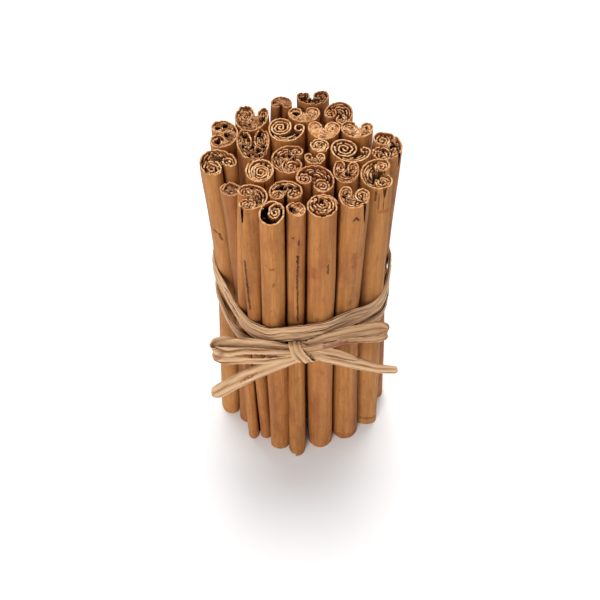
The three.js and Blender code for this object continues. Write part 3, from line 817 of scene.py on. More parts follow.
def tree_of(points):
    tree = kdtree.KDTree(len(points))
    for i, point in enumerate(points):
        tree.insert((point.x, point.y, 0), i)
    tree.balance()
    return tree


def crossings_of(outline, y):
    """Where a level line crosses a closed outline."""
    found = []
    for a, b in zip(outline, outline[1:] + outline[:1]):
        if (a.y > y) != (b.y > y):
            found.append(a.x + (b.x - a.x) * (y - a.y) / (b.y - a.y))
    return found


# Materials --------------------------------------------------------------------------------


class Socket:
    """One output of a material's nodes. Arithmetic on it adds Math nodes."""

    def __init__(self, finish, link):
        self.finish, self.link = finish, link

    def math(self, operation, *values):
        return self.finish.node(
            "ShaderNodeMath", {"operation": operation}, dict(enumerate(values))
        )

    def __add__(self, other):
        return self.math("ADD", self, other)

    def __sub__(self, other):
        return self.math("SUBTRACT", self, other)

    def __rsub__(self, other):
        return self.math("SUBTRACT", other, self)

    def __mul__(self, other):
        return self.math("MULTIPLY", self, other)

    def __truediv__(self, other):
        return self.math("DIVIDE", self, other)

    __radd__, __rmul__ = __add__, __mul__


class Finish:
    """A material under construction."""

    def __init__(self, name):
        self.material = bpy.data.materials.new(name)
        self.material.use_nodes = True
        self.tree = self.material.node_tree
        self.shader = self.tree.nodes["Principled BSDF"]

    def node(self, kind, settings=None, values=None, output=0):
        """A new node's output, with its settings made first and then its sockets' values or links."""
        node = self.tree.nodes.new(kind)
        for name, value in (settings or {}).items():
            setattr(node, name, value)
        for name, value in (values or {}).items():
            self.feed(node.inputs[name], value)
        return Socket(self, node.outputs[output])

    def feed(self, entry, value):
        if isinstance(value, Socket):
            self.tree.links.new(value.link, entry)
        else:
            entry.default_value = value

    def surface(self, values):
        """Sets or links sockets of the shader."""
        for name, value in values.items():
            self.feed(self.shader.inputs[name], value)

    def mix(self, factor, first, second, blend="MIX"):
        values = {0: factor, 6: solid(first), 7: solid(second)}
        settings = {"data_type": "RGBA", "blend_type": blend, "clamp_factor": True}
        return self.node("ShaderNodeMix", settings, values, output=2)

    def vector(self, operation, first, second, output=0):
        values = {0: first, 1: second}
        return self.node("ShaderNodeVectorMath", {"operation": operation}, values, output)

    def attribute(self, name):
        return self.node("ShaderNodeAttribute", {"attribute_name": name}, output=2)

    def rise(self, value, low, high):
        """0 where the value is at low, 1 where it is at high, with soft ends."""
        settings = {"interpolation_type": "SMOOTHSTEP"}
        values = {0: value, 1: low, 2: high, 3: 0.0, 4: 1.0}
        return self.node("ShaderNodeMapRange", settings, values)

    def over(self, base, mask, low, high, colour, strength=1.0):
        """The base with a colour laid over it where the mask goes from low to high."""
        return self.mix(self.rise(mask, low, high) * strength, base, colour)

    def pattern(self, across, along, detail=2.0, rough=0.5, warp=0.0, depth=0.0, inside=False):
        """Noise with cells some millimetres across and along the sheet. It lies on the
        sheet's own uv, or inside the stick itself."""
        if inside:
            coordinates = self.node("ShaderNodeTexCoord", output=3)
            scale = (1 / (across * MM), 1 / (across * MM), 1 / (along * MM))
        else:
            coordinates = self.node("ShaderNodeUVMap", {"uv_map": "sheet"})
            scale = (1 / (across * MM), 1 / (along * MM), 1.0)
        drift = self.node("ShaderNodeCombineXYZ", None, {2: self.attribute("drift") + depth})
        moved = self.vector("ADD", self.vector("MULTIPLY", coordinates, scale), drift)
        values = {"Vector": moved, "Scale": 1.0, "Detail": detail, "Roughness": rough, "Distortion": warp}
        return self.node("ShaderNodeTexNoise", None, values)

    def bump(self, height, distance, strength=1.0):
        values = {"Height": height, "Distance": distance, "Strength": strength}
        self.surface({"Normal": self.node("ShaderNodeBump", None, values)})


def solid(colour):
    """A colour for a socket: four numbers, or the socket that feeds it."""
    return colour if isinstance(colour, Socket) else (*colour[:3], 1.0)


def srgb(red, green, blue):
    """A linear colour from the 0 to 255 numbers that a paint chart gives."""
    return tuple(((c / 255 + 0.055) / 1.055) ** 2.4 if c > 10 else c / 3294 for c in (red, green, blue))


def tinted(finish, colour, end=False):
    """The colour made lighter or darker and redder or yellower from quill to quill. The
    ends are never yellower."""
    tone, rosy = finish.attribute("tone"), finish.attribute("rosy")
    lighter = finish.over(colour, tone, 0.0, 1.0, srgb(214, 162, 104))
    toned = finish.over(lighter, tone, 0.0, -1.0, srgb(100, 58, 36))
    redder = finish.over(toned, rosy, 0.0, 1.0, srgb(160, 92, 64), 0.45)
    return redder if end else finish.over(redder, rosy, 0.0, -1.0, srgb(176, 130, 70), 0.5)


def marked(finish, base, marks, dark, red):
    """The colour with every crack, stain and painted hollow shade laid over it. Each lies on its
    own sheet: its ends are uv places, with the sheet's drift as the third number."""
    sheet = finish.node("ShaderNodeCombineXYZ", None, {2: finish.attribute("drift")})
    place = finish.vector("ADD", finish.node("ShaderNodeUVMap", {"uv_map": "sheet"}), sheet)
    broken = finish.pattern(0.5, 1.0, detail=2, depth=17.0) - 0.5
    for start, end, mark in marks:
        way = end - start
        offset = finish.vector("SUBTRACT", place, start)
        share = finish.vector("DOT_PRODUCT", offset, way / way.length_squared, output=1)
        held = finish.node("ShaderNodeClamp", None, {0: share, 1: 0.0, 2: 1.0})
        nearest = finish.node("ShaderNodeVectorMath", {"operation": "SCALE"}, {0: way, 3: held})
        off = finish.vector("DISTANCE", offset, nearest, output=1) / (mark.width * MM) + broken * 2.2
        base = finish.over(base, off, 1.1, 0.5, red if mark.red else dark, mark.strength)
    return base


def side_finish(settings, marks):
    """The quill's outer skin: fine lengthwise grain, streaks, blotches and small scars, and painted shade
    where it touches or nears another quill.
    """
    finish = Finish("bark_side")
    grain = finish.pattern(0.28, 5.0, detail=4, rough=0.6)
    streak = finish.pattern(1.3, 40.0, detail=3, depth=3.3)
    blotch = finish.pattern(5.0, 14.0, detail=3, rough=0.6, depth=7.1)
    shade = finish.pattern(3.5, 50.0, detail=2, depth=15.0)
    mottle = finish.pattern(1.1, 1.6, detail=3, rough=0.7, depth=19.0)
    scar = finish.pattern(2.2, 3.6, detail=2, depth=11.0)
    base = finish.over(settings.bark_colour, streak, 0.3, 0.7, settings.bark_light)
    base = finish.over(base, blotch, 0.48, 0.7, settings.bark_red, 0.65)
    base = finish.over(base, shade, 0.45, 0.75, settings.bark_dark, 0.4)
    base = finish.over(base, mottle, 0.5, 0.75, settings.bark_dark, 0.3)
    base = finish.over(base, grain, 0.45, 0.7, settings.bark_dark, 0.28)
    base = finish.over(base, scar, 0.70, 0.78, settings.bark_dark, 0.5)
    # painted shade where the skin touches or nears another quill, with blotchy edges
    painted_gap_shade = finish.attribute("near") + (blotch - 0.5) * 0.4
    base = finish.over(tinted(finish, base), painted_gap_shade, 0.25, 1.05, settings.bark_shaded, 0.85)
    base = marked(finish, base, marks, settings.mark_dark, settings.mark_red)
    finish.surface({"Base Color": base, "Roughness": 0.58 + grain * 0.2, "Specular IOR Level": 0.2})
    finish.bump(grain * 0.6 + streak * 0.8 + blotch * 0.8, 0.00025, 0.5)
    return finish.material


def inside_finish(settings):
    """The bark's inner faces, with painted shade that darkens them towards near black the deeper they lie
    in the roll.
    """
    finish = Finish("bark_inside")
    grain = finish.pattern(0.25, 2.5, detail=4, rough=0.6, inside=True)
    base = finish.over(settings.inside_colour, grain, 0.3, 0.7, settings.bark_red)
    # painted shade: near black the deeper below the rim
    base = finish.over(base, finish.attribute("below"), 0.05, 1.4, settings.deep_shade_colour)
    base = tinted(finish, base, end=True)
    finish.surface({"Base Color": base, "Roughness": 0.8, "Specular IOR Level": 0.0})
    finish.bump(grain, 0.0002, 0.5)
    return finish.material


def cut_finish(settings):
    """The broken edges and crumbs at the ends: pale, and with painted shade that makes them browner and
    then near black the deeper they lie.
    """
    finish = Finish("bark_cut")
    speck = finish.pattern(0.3, 0.3, detail=3, rough=0.7, inside=True)
    chip = finish.pattern(0.8, 0.8, detail=2, depth=9.0, inside=True)
    cloud = finish.pattern(1.6, 1.6, detail=2, depth=5.0, inside=True)
    depth = finish.attribute("below") + speck * 0.5
    base = finish.over(settings.cut_colour, cloud, 0.35, 0.65, settings.cut_warm)
    base = finish.mix(finish.attribute("outer") * 0.6, base, settings.cut_dull)
    base = finish.over(base, chip, 0.48, 0.62, settings.inside_colour, 0.5)
    base = finish.over(base, speck, 0.5, 0.66, settings.inside_colour, 0.5)
    # painted shade: browner and then near black the deeper below the rim
    base = finish.over(base, depth, 0.38, 0.8, settings.inside_colour, 0.85)
    base = finish.over(base, depth, 0.66, 1.15, settings.deep_shade_colour)
    base = tinted(finish, base, end=True)
    finish.surface({"Base Color": base, "Roughness": 0.9, "Specular IOR Level": 0.02})
    finish.bump(speck, 0.0003, 0.6)
    return finish.material


def raffia_finish(settings, marks):
    """Dry raffia: fine fibres along the ribbon, with painted highlights on the ridges and painted shade in
    the folds.
    """
    finish = Finish("raffia")
    fibre = finish.pattern(0.3, 9.0, detail=4, rough=0.65)
    crease_lines = finish.pattern(0.6, 20.0, detail=3, rough=0.6, warp=0.15, depth=4.0)
    # painted light by the folds: shade in the valleys and along noise crease lines, highlight on the
    # ridges
    fold = finish.attribute("fold") + (crease_lines - 0.5) * 2.0
    base = finish.over(settings.raffia_dark_fibre_and_fold_shade, fold, -0.9, 0.3, settings.raffia_colour)
    base = finish.over(base, fold, 0.2, 1.2, settings.raffia_pale_fibre_and_ridge_highlight, 0.7)
    # the fibres' own paler and darker streaks, in the same two colours
    base = finish.over(base, fibre, 0.5, 0.8, settings.raffia_pale_fibre_and_ridge_highlight, 0.35)
    base = finish.over(base, fibre, 0.48, 0.28, settings.raffia_dark_fibre_and_fold_shade, 0.5)
    # painted shade laid on as marks: slits in one colour, hollows of the loops in a reddish one
    base = marked(finish, base, marks, settings.raffia_slit_shade, settings.raffia_painted_hollow)
    finish.surface({"Base Color": base, "Roughness": 0.62 + fibre * 0.2})
    finish.surface({"Specular IOR Level": 0.3, "Sheen Weight": 0.15})
    finish.bump(fibre * 0.5 + crease_lines, 0.0004, 0.6)
    return finish.material


# The raffia tie ---------------------------------------------------------------------------

TIE_CENTRE = Vector((-1.48, 0.93, 0))  # mm, the middle of the windings
KNOT_MIDDLE = (0.6, -27.6, 51.2)  # mm from there
KNOT_HALF_SIZE = (2.9, 1.5, 3.5)  # mm
MOST_INWARD = 0.9  # mm from the middle of a packed winding to the quills that it lies on
WINDING_LENGTH = 150.0  # mm of fibres once round the quills
WINDING_CELLS = (280, 14)  # along and across
STRAND_ROWS = 20  # cells across a loop, a tail or the strap
RIBBON_THICKNESS = 0.16  # mm
LEFT_LOOP_SEED, RIGHT_LOOP_SEED = 2.0, 8.0


class Route(NamedTuple):
    """A strand's way. Each point is x, y, z from the middle of the windings, then its width
    in millimetres and how many degrees its upper edge leans back."""

    points: tuple
    curl: float = 60.0  # degrees that the strand is rounded across
    creases: float = 4.0  # folds across the width
    depth: float = 0.3  # of the folds, in millimetres
    face: int = 1  # 1 where the rounded side lies to the right of the way, -1 to the left
    slits: tuple = ()  # along from, to and across from, to of each tear, as shares
    frayed: float = 0.12  # unevenness of the edges, in millimetres
    tip: float = 0.0  # share of the length over which the end is rounded off
    marks: tuple = ()


LEFT_LOOP = Route(
    (
        (0.6, -26.6, 51.6, 3.4, 0), (-2.6, -26.4, 51.5, 4.4, 0), (-7.8, -25.8, 51.8, 5.6, 0),
        (-13.5, -24.9, 51.3, 6.4, 3), (-18.8, -23.6, 49.9, 6.8, 5), (-22.6, -22.8, 48.4, 6.8, 5),
        (-24.3, -23.7, 47.4, 6.4, 8), (-23.8, -24.9, 46.9, 6.2, 12), (-21.1, -25.9, 47.3, 6.0, 15),
        (-16.4, -26.8, 48.2, 5.6, 18), (-10.7, -27.7, 49.2, 5.2, 15), (-5.0, -28.4, 50.2, 4.4, 8),
        (-1.6, -28.4, 50.9, 3.8, 5), (0.6, -28.1, 51.3, 3.2, 0),
    ),
    curl=40, creases=2.8, depth=0.45, slits=((0.62, 0.94, 0.40, 0.62),), frayed=0.2,
    # painted reddish shade in the hollow at the loop's turn
    marks=(Mark((0.53, 0.3), (0.57, 0.6), 1.0, 0.6, red=True),),
)
RIGHT_LOOP = Route(
    (
        (0.0, -26.6, 52.2, 3.2, 0), (4.0, -26.4, 52.9, 4.0, 0), (7.7, -25.9, 54.1, 4.6, 5),
        (13.4, -24.8, 55.3, 5.2, 8), (19.1, -23.4, 55.2, 5.6, 8), (23.4, -22.5, 54.7, 5.6, 8),
        (25.0, -23.1, 54.7, 4.4, 12), (24.4, -24.5, 54.7, 3.0, 16), (21.5, -25.5, 54.6, 2.2, 20),
        (18.0, -26.3, 55.1, 1.9, 20), (13.2, -27.1, 55.5, 1.9, 18), (9.6, -27.6, 54.4, 2.0, 12),
        (3.8, -28.3, 53.9, 2.4, 8), (0.6, -28.1, 52.4, 2.8, 0),
    ),
    curl=40, creases=2.6, depth=0.4, frayed=0.35,
    # painted reddish shade in a hollow of the loop
    marks=(Mark((0.74, 0.3), (0.86, 0.4), 0.8, 0.8, red=True),),
)
LEFT_TAIL = Route(
    (
        (0.4, -27.4, 47.8, 3.0, 0), (-3.4, -27.3, 45.6, 3.6, 5), (-7.9, -27.0, 42.9, 4.0, 10),
        (-12.4, -26.8, 39.8, 4.4, 10), (-16.5, -26.8, 36.8, 4.6, 10), (-20.6, -26.9, 33.4, 4.6, 8),
        (-25.2, -27.1, 29.6, 4.4, 5),
    ),
    curl=150, creases=2.6, depth=0.28, face=-1, slits=((0.42, 0.72, 0.46, 0.54),), tip=0.07,
)
RIGHT_TAIL = Route(
    (
        (0.8, -27.8, 49.8, 3.2, 0), (5.0, -27.8, 49.3, 4.0, 10), (9.6, -27.5, 47.9, 4.4, 15),
        (14.4, -27.3, 46.0, 4.4, 15), (19.2, -27.2, 43.9, 3.8, 12), (24.0, -27.2, 42.3, 3.2, 8),
        (29.0, -27.2, 41.7, 2.8, 5),
    ),
    curl=150, creases=2.6, depth=0.28, tip=0.03,
)
RIGHT_PLY = Route(
    (
        (1.2, -27.2, 51.6, 2.6, 0), (5.2, -27.1, 51.2, 3.0, 20), (9.4, -27.0, 49.9, 3.0, 28),
        (13.4, -26.9, 48.3, 2.4, 28), (17.4, -26.8, 46.4, 1.4, 20),
    ),
    curl=70, creases=1.8, depth=0.25, tip=0.1,
)
STRAP = Route(
    (
        (-0.9, -26.6, 54.7, 3.2), (-0.8, -28.3, 54.9, 3.4), (-0.2, -29.3, 53.3, 3.6),
        (0.9, -29.7, 51.2, 3.9), (2.1, -29.4, 49.0, 4.2), (2.7, -28.2, 47.4, 4.4),
        (2.8, -26.8, 47.0, 4.4),
    ),
    curl=60, creases=2.2, depth=0.3,
)


class Strand(NamedTuple):
    """One strand of a winding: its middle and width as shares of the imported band's height,
    how far it lies out, and how much it wanders up and down."""

    middle: float
    width: float
    out: float
    wander: float
    creases: float = 2.5
    depth: float = 0.3


UPPER_STRANDS = (
    Strand(0.0, 1.0, -0.7, 0.03, 3.0, 0.25),
    Strand(0.26, 0.56, 0.05, 0.14, 2.0, 0.3),
    Strand(-0.28, 0.52, 0.15, 0.12, 1.8, 0.3),
)
LOWER_STRANDS = (
    Strand(0.0, 1.0, -0.7, 0.04, 2.6, 0.25),
    Strand(0.12, 0.6, 0.1, 0.2, 1.8, 0.3),
)


class Band:
    """The way of a packed winding: its radius and its height at any angle."""

    def __init__(self, node):
        self.points = []
        for vert in node.data.vertices:
            flat = vert.co / MM - TIE_CENTRE
            self.points.append((math.atan2(flat.y, flat.x), flat.xy.length, flat.z))

    def at(self, angle, width=math.radians(5.0)):
        """Middle radius, middle height and half height near an angle, in millimetres."""
        near = []
        for other, radius, z in self.points:
            off = abs((other - angle + math.pi) % math.tau - math.pi)
            if off < 2 * width:
                near.append((math.exp(-((off / width) ** 2)), radius, z))
        total = sum(w for w, _, _ in near)
        middle = sum(w * z for w, _, z in near) / total
        half = sum(w * abs(z - middle) for w, _, z in near) / total
        return sum(w * r for w, r, _ in near) / total, middle, half


def crease(phase):
    """The profile of sharp folds, from -1 to 1, every second one shallower."""
    ridge = 2 * abs(2 * (phase % 1.0) - 1) - 1
    return ridge * (1.0 if phase % 2.0 < 1.0 else 0.6)


def bend_ribbon(bm, columns, rows, place, drift, slits=()):
    """A raffia ribbon bent by place(share along, share across), which gives a point, how far
    across and along the ribbon it lies in millimetres, and how high on a fold it is; the fold height sets
    painted shade and highlight."""
    drifts, folds = (bm.verts.layers.float[name] for name in ("drift", "fold"))

    def at(column, row):
        point, uv, fold = place(column / columns, row / rows)
        values = {drifts: drift, folds: fold}
        return (point + TIE_CENTRE) * MM, (uv[0] * MM, uv[1] * MM), values

    def torn(along, across):
        for start, end, low, high in slits:
            share = (along - start) / (end - start)
            if 0 < share < 1:
                spread = math.sin(math.pi * share) * (high - low) / 2
                spread *= 1 + 0.5 * wave(along * 40, drift)
                middle = (low + high) / 2 + 0.04 * wave(along * 25, drift + 5)
                if abs(across - middle) < spread:
                    return True
        return False

    faces = sum(bend_sheet(bm, columns, rows, RIBBON_THICKNESS * MM, at, torn), [])
    for face in faces:
        face.smooth = True


def new_raffia():
    bm = bmesh.new()
    bm.loops.layers.uv.new("sheet")
    for name in ("drift", "fold"):
        bm.verts.layers.float.new(name)
    return bm


def add_winding_strand(bm, band, strand, seed):
    """A strand of raffia once round the quills."""

    def place(along, across):
        angle = along * math.tau + math.pi / 2
        cos, sin = math.cos(angle), math.sin(angle)
        radius, middle, half = band.at(angle)
        half *= 1.3
        drift = strand.middle + strand.wander * wave(cos * 2.2, sin * 2.2, seed)
        width = strand.width * (1 + 0.25 * wave(cos * 3, sin * 3, seed + 2))
        side = across - 0.5
        z = middle + (drift + side * width) * half * 2
        wander = 0.8 * wave(cos * 3, sin * 3, seed + 5) + 0.3 * wave(cos * 8, sin * 8, seed + 6)
        fold = crease(across * strand.creases + wander)
        strength = 0.75 + 0.7 * wave(cos * 6 + across, sin * 6, seed + 7)
        lean = 0.3 * wave(cos * 1.8, sin * 1.8, seed + 11)
        out = strand.out + strand.depth * fold * strength + 0.3 * (1 - (2 * side) ** 2)
        out += side * lean * half * 2 * strand.width
        out += 0.08 * wave(angle * 16, across * 4, seed + 12)
        edge = 0.14 * wave(angle * 12, seed, round(across)) * (abs(side) > 0.45)
        from_front = abs(along * 360 - 180)
        out -= 0.75 * smooth(from_front, 15, 40)
        out = max(out, -MOST_INWARD)
        flat = Vector((cos, sin, 0)) * (radius + out)
        uv = (side * width * half * 2, along * WINDING_LENGTH)
        return Vector((flat.x, flat.y, z + edge)), uv, fold * strength

    bend_ribbon(bm, *WINDING_CELLS, place, seed)


def build_winding(node, name, strands, seed):
    bm = new_raffia()
    band = Band(node)
    for i, strand in enumerate(strands):
        add_winding_strand(bm, band, strand, seed + i * 13)
    bmesh.ops.remove_doubles(bm, verts=bm.verts[:], dist=1e-7)
    return finish_piece(bm, name)


def spline(points, place):
    """A smooth line through the points, at a place counted in points."""
    steps = len(points) - 1
    i = min(steps - 1, int(place))
    t = place - i
    p = [Vector(points[min(steps, max(0, i + k))]) for k in (-1, 0, 1, 2)]
    return 0.5 * (
        2 * p[1]
        + (p[2] - p[0]) * t
        + (2 * p[0] - 5 * p[1] + 4 * p[2] - p[3]) * t**2
        + (3 * p[1] - p[0] - 3 * p[2] + p[3]) * t**3
    )


class Path:
    """A smooth line through a route's points, even along its length."""

    def __init__(self, points, count=300):
        self.stops = [spline(points, (len(points) - 1) * i / count) for i in range(count + 1)]
        self.reached = [0.0]
        for a, b in zip(self.stops, self.stops[1:]):
            self.reached.append(self.reached[-1] + (Vector(b[:3]) - Vector(a[:3])).length)

    def at(self, share):
        """The route's values at a share of its length."""
        goal = min(1.0, max(0.0, share)) * self.reached[-1]
        i = min(len(self.stops) - 2, max(0, bisect.bisect_right(self.reached, goal) - 1))
        step = self.reached[i + 1] - self.reached[i]
        return self.stops[i].lerp(self.stops[i + 1], (goal - self.reached[i]) / step)

    def along(self, share):
        """The direction at a share of the length."""
        return Vector((self.at(share + 0.02) - self.at(share - 0.02))[:3]).normalized()


def add_strand(bm, route, seed, columns):
    """A creased strand along its route. A strap's route has no lean and runs downwards."""
    upright = len(route.points[0]) == 4
    path = Path(route.points)
    length = path.reached[-1]

    def place(along, side):
        value, tangent = path.at(along), path.along(along)
        centre, width = Vector(value[:3]), value[3]
        if along > 1 - route.tip:
            width *= math.sqrt(max(0.04, 1 - ((along - 1 + route.tip) / route.tip) ** 2))
        if upright:
            across = Vector((1, 0, 0))
        else:
            lean = math.radians(value[4])
            across = Vector((0, math.sin(lean), math.cos(lean)))
        across = (across - tangent * across.dot(tangent)).normalized()
        face = tangent.cross(across) * route.face
        half_curl = math.radians(route.curl) / 2
        radius = width / 2 / math.sin(min(half_curl, math.pi / 2))
        turn = (side - 0.5) * 2 * half_curl
        distance = along * length
        edge = route.frayed * wave(distance * 0.9, seed, side * 3) * (abs(side - 0.5) > 0.42)
        offset = radius * math.sin(turn) + edge
        wander = 0.7 * wave(distance * 0.05, seed) + 0.25 * wave(distance * 0.2, side * 1.2, seed)
        strength = 0.75 + 0.7 * wave(distance * 0.15, side * 2, seed + 3)
        strength *= min(1.0, width / 3.0)
        fold = crease(side * route.creases + wander)
        out = route.depth * strength * fold - radius * (1 - math.cos(turn)) * 0.7
        out += 0.08 * wave(distance * 1.1, side * 6, seed + 8)
        out += 0.25 * wave(distance * 0.09, seed + 6)
        return centre + across * offset + face * out, (side * width, distance), fold * strength

    bend_ribbon(bm, columns, STRAND_ROWS, place, seed, route.slits)


def strand_marks(*strands):
    """The start and the end of every mark on the strands, each given with its seed."""
    found = []
    for route, seed in strands:
        path = Path(route.points)
        for mark in route.marks:
            ends = []
            for along, across in (mark.start, mark.end):
                width = path.at(along)[3]
                ends.append(Vector((across * width * MM, along * path.reached[-1] * MM, seed)))
            found.append((*ends, mark))
    return found


def build_strands(name, seed, *routes, columns=110):
    bm = new_raffia()
    for i, route in enumerate(routes):
        add_strand(bm, route, seed + i * 17, columns)
    return finish_piece(bm, name)


def build_knot(name, seed):
    """The crumpled heart of the knot and the strap drawn over it."""
    bm = new_raffia()
    heart = bmesh.ops.create_icosphere(bm, subdivisions=5, radius=1.0)["verts"]
    uv = bm.loops.layers.uv.active
    folds = bm.verts.layers.float["fold"]
    for vert in heart:
        x, y, z = vert.co
        fold = crease(z * 1.4 + 0.6 * wave(x * 1.5, y, seed) - x * 0.7)
        # the fold value sets the raffia's painted shade and highlight
        vert[folds] = fold
        vert.co *= 1 + 0.07 * fold + 0.1 * wave(x * 2, y * 2, z * 2 + seed)
        place = [m + c * half for m, c, half in zip(KNOT_MIDDLE, vert.co, KNOT_HALF_SIZE)]
        vert.co = (Vector(place) + TIE_CENTRE) * MM
    for face in bm.faces:
        face.smooth = True
        for loop in face.loops:
            loop[uv].uv = (loop.vert.co.z, loop.vert.co.x)
    add_strand(bm, STRAP, seed, columns=60)
    return finish_piece(bm, name)


# Add-on -----------------------------------------------------------------------------------

FLOOR_DROP = 0.0001  # metres that the floor lies below the feet
FLOOR_COLOUR = (0.92, 0.92, 0.925, 1)
WORLD_STRENGTH = 0.36
LIGHTS = (  # name, place and width in metres, power in watts
    ("key_from_behind", (0.0, 0.42, 0.95), 0.7, 10.8),
    ("fill_from_front", (-0.3, -0.76, 0.5), 0.45, 4.7),
)
SENSOR_WIDTH = 36.0  # mm
LENS = 61.02  # mm
CAMERA_ASIDE = -0.0008  # metres to the right of the origin
LOOKING_DOWN = 47.8  # degrees

def colour_property(name, description, default):
    return bpy.props.FloatVectorProperty(
        name=name, description=description, default=default, subtype="COLOR", size=3, min=0, max=1
    )


def length_property(name, description, default):
    return bpy.props.FloatProperty(
        name=name, description=description, default=default, unit="LENGTH", min=0
    )


class QuillSettings(bpy.types.PropertyGroup):
    bark_thickness: length_property("Bark thickness", "Thickness of the outer sheet of bark", 0.00042)
    bark_colour: colour_property("Bark", "Skin of the quills", srgb(173, 111, 56))
    bark_light: colour_property("Light streaks", "Lighter streaks along the skin", srgb(191, 130, 71))
    bark_red: colour_property("Red blotches", "Redder patches of the skin", srgb(152, 90, 52))
    bark_dark: colour_property("Dark grain", "Scars and dark grain", srgb(108, 64, 36))
    mark_dark: colour_property("Cracks", "Cracks and knots of the skin", srgb(58, 28, 12))
    mark_red: colour_property("Stains", "Reddish stains of the skin", srgb(142, 72, 40))
    # painted shade where two quills touch or lie close
    bark_shaded: colour_property("Between quills", "Skin where two quills touch", srgb(72, 32, 14))
    inside_colour: colour_property("Inside", "Inner faces near the ends", srgb(116, 60, 28))
    # painted shade deep in the rolls and under the rims
    deep_shade_colour: colour_property("Deep inside", "Inner faces deep in the roll", srgb(20, 7, 3))
    cut_colour: colour_property("Cut ends", "Broken edges of the bark", srgb(244, 200, 155))
    cut_dull: colour_property("Outer cut edge", "Cut edge of the outermost bark", srgb(196, 136, 86))
    cut_warm: colour_property("Warm cut ends", "Warmer parts of the broken edges", srgb(214, 156, 100))


class TieSettings(bpy.types.PropertyGroup):
    raffia_colour: colour_property("Raffia", "Skin of the ribbon", srgb(211, 170, 127))
    # darker fibres, and painted shade in the folds
    raffia_dark_fibre_and_fold_shade: colour_property("Raffia folds", "Darker folds", srgb(134, 88, 52))
    # painted shade in deep slits and tears
    raffia_slit_shade: colour_property("Raffia slits", "Deep slits and tears", srgb(84, 46, 24))
    # painted shade in the hollows of the loops, reddish
    raffia_painted_hollow: colour_property("Raffia stains", "Reddish hollows", srgb(138, 82, 54))
    # paler fibres, and painted highlight on the ridges
    raffia_pale_fibre_and_ridge_highlight: colour_property("Raffia ridges", "Paler fibres", srgb(234, 202, 164))


class StageSettings(bpy.types.PropertyGroup):
    floor_size: length_property("Floor size", "Width of the floor", 6.0)
    camera_distance: length_property("Camera distance", "In front of the origin", 0.20882)
    camera_height: length_property("Camera height", "Above the floor", 0.2740)


class CINNAMON_OT_quills(bpy.types.Operator):
    """Roll every quill of the bundle where the frame has it"""

    bl_idname = "cinnamon.quills"
    bl_label = "Quills"

    def execute(self, context):
        settings = context.scene.cinnamon_quills
        nodes = [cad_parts[f"stick_{i:02d}"] for i in range(1, len(QUILLS) + 1)]
        axes = [Axis(node, quill, i * 2.3) for i, (node, quill) in enumerate(zip(nodes, QUILLS), 1)]
        side = side_finish(settings, skin_marks(axes))
        finishes = [side, inside_finish(settings), cut_finish(settings)]
        for index, quill in enumerate(QUILLS, start=1):
            name = f"stick_{index:02d}"
            piece = QuillMaker(index, quill, axes, settings).build()
            for material in finishes:
                piece.data.materials.append(material)
            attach(piece, "root")
            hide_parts(name)
        return {"FINISHED"}


class CINNAMON_OT_tie(bpy.types.Operator):
    """Wind the raffia round the quills and tie its bow"""

    bl_idname = "cinnamon.tie"
    bl_label = "Raffia tie"

    def execute(self, context):
        settings = context.scene.cinnamon_tie
        upper, lower = "tie_upper_winding", "tie_lower_winding"
        made = {
            upper: build_winding(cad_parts[upper], "raffia_upper_winding", UPPER_STRANDS, 1.0),
            lower: build_winding(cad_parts[lower], "raffia_lower_winding", LOWER_STRANDS, 5.0),
            "tie_left_loop": build_strands("raffia_left_loop", LEFT_LOOP_SEED, LEFT_LOOP, columns=170),
            "tie_right_loop": build_strands("raffia_right_loop", RIGHT_LOOP_SEED, RIGHT_LOOP, columns=170),
            "tie_left_tail": build_strands("raffia_left_tail", 3.0, LEFT_TAIL),
            "tie_right_tail": build_strands("raffia_right_tail", 4.0, RIGHT_TAIL, RIGHT_PLY),
            "tie_knot": build_knot("raffia_knot", 6.0),
        }
        marks = strand_marks((LEFT_LOOP, LEFT_LOOP_SEED), (RIGHT_LOOP, RIGHT_LOOP_SEED))
        material = raffia_finish(settings, marks)
        for node, piece in made.items():
            piece.data.materials.append(material)
            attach(piece, "root")
            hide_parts(node)
        return {"FINISHED"}


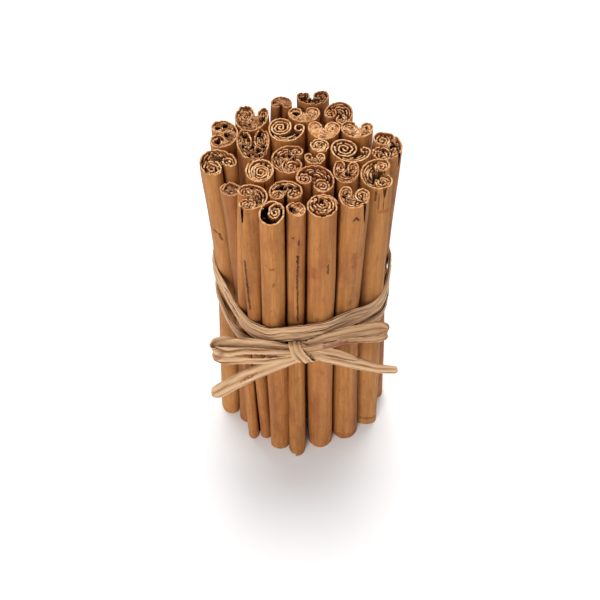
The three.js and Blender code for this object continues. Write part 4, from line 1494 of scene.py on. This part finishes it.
class CINNAMON_OT_stage(bpy.types.Operator):
    """Set the pale floor, the soft light and the camera"""

    bl_idname = "cinnamon.stage"
    bl_label = "Stage"

    def execute(self, context):
        settings = context.scene.cinnamon_stage
        scene = context.scene
        bm = bmesh.new()
        bmesh.ops.create_grid(bm, x_segments=1, y_segments=1, size=settings.floor_size / 2)
        bmesh.ops.translate(bm, verts=bm.verts[:], vec=(0, 0, -FLOOR_DROP))
        floor = finish_piece(bm, "floor")
        paper = Finish("floor_paper")
        paper.surface({"Base Color": FLOOR_COLOUR, "Roughness": 0.9})
        floor.data.materials.append(paper.material)

        world = bpy.data.worlds.new("studio")
        world.use_nodes = True
        background = world.node_tree.nodes["Background"]
        background.inputs["Color"].default_value = (1, 1, 1, 1)
        background.inputs["Strength"].default_value = WORLD_STRENGTH
        scene.world = world
        for light in LIGHTS:
            self.add_light(*light)

        data = bpy.data.cameras.new("camera")
        data.sensor_width = SENSOR_WIDTH
        data.lens = LENS
        data.clip_start = 0.01
        camera = bpy.data.objects.new("camera", data)
        camera.location = (CAMERA_ASIDE, -settings.camera_distance, settings.camera_height)
        camera.rotation_euler = (math.radians(90 - LOOKING_DOWN), 0, 0)
        scene.collection.objects.link(camera)
        scene.camera = camera
        scene.view_settings.view_transform = "Standard"
        return {"FINISHED"}

    def add_light(self, name, place, size, power):
        light = bpy.data.lights.new(name, "AREA")
        light.shape = "DISK"
        light.size = size
        light.energy = power
        lamp = bpy.data.objects.new(name, light)
        lamp.location = place
        aim = Vector((0, 0, 0.05)) - Vector(place)
        lamp.rotation_euler = aim.to_track_quat("-Z", "Y").to_euler()
        bpy.context.scene.collection.objects.link(lamp)


class CINNAMON_PT_bundle(bpy.types.Panel):
    bl_label = "Cinnamon bundle"
    bl_idname = "CINNAMON_PT_bundle"
    bl_space_type = "VIEW_3D"
    bl_region_type = "UI"
    bl_category = "Cinnamon"

    def draw(self, context):
        for group, operator in GROUPS:
            box = self.layout.box()
            box.operator(operator)
            settings = getattr(context.scene, group)
            for name in settings.bl_rna.properties.keys():
                if name not in ("rna_type", "name"):
                    box.prop(settings, name)


GROUPS = (
    ("cinnamon_quills", "cinnamon.quills"),
    ("cinnamon_tie", "cinnamon.tie"),
    ("cinnamon_stage", "cinnamon.stage"),
)
SETTINGS = (QuillSettings, TieSettings, StageSettings)
CLASSES = (*SETTINGS, CINNAMON_OT_quills, CINNAMON_OT_tie, CINNAMON_OT_stage, CINNAMON_PT_bundle)


def register():
    for cls in CLASSES:
        bpy.utils.register_class(cls)
    for (group, _), cls in zip(GROUPS, SETTINGS):
        setattr(bpy.types.Scene, group, bpy.props.PointerProperty(type=cls))


def unregister():
    for group, _ in GROUPS:
        delattr(bpy.types.Scene, group)
    for cls in reversed(CLASSES):
        bpy.utils.unregister_class(cls)


def main():
    register()
    bpy.ops.cinnamon.quills()
    bpy.ops.cinnamon.tie()
    bpy.ops.cinnamon.stage()


if __name__ == "__main__":
    main()
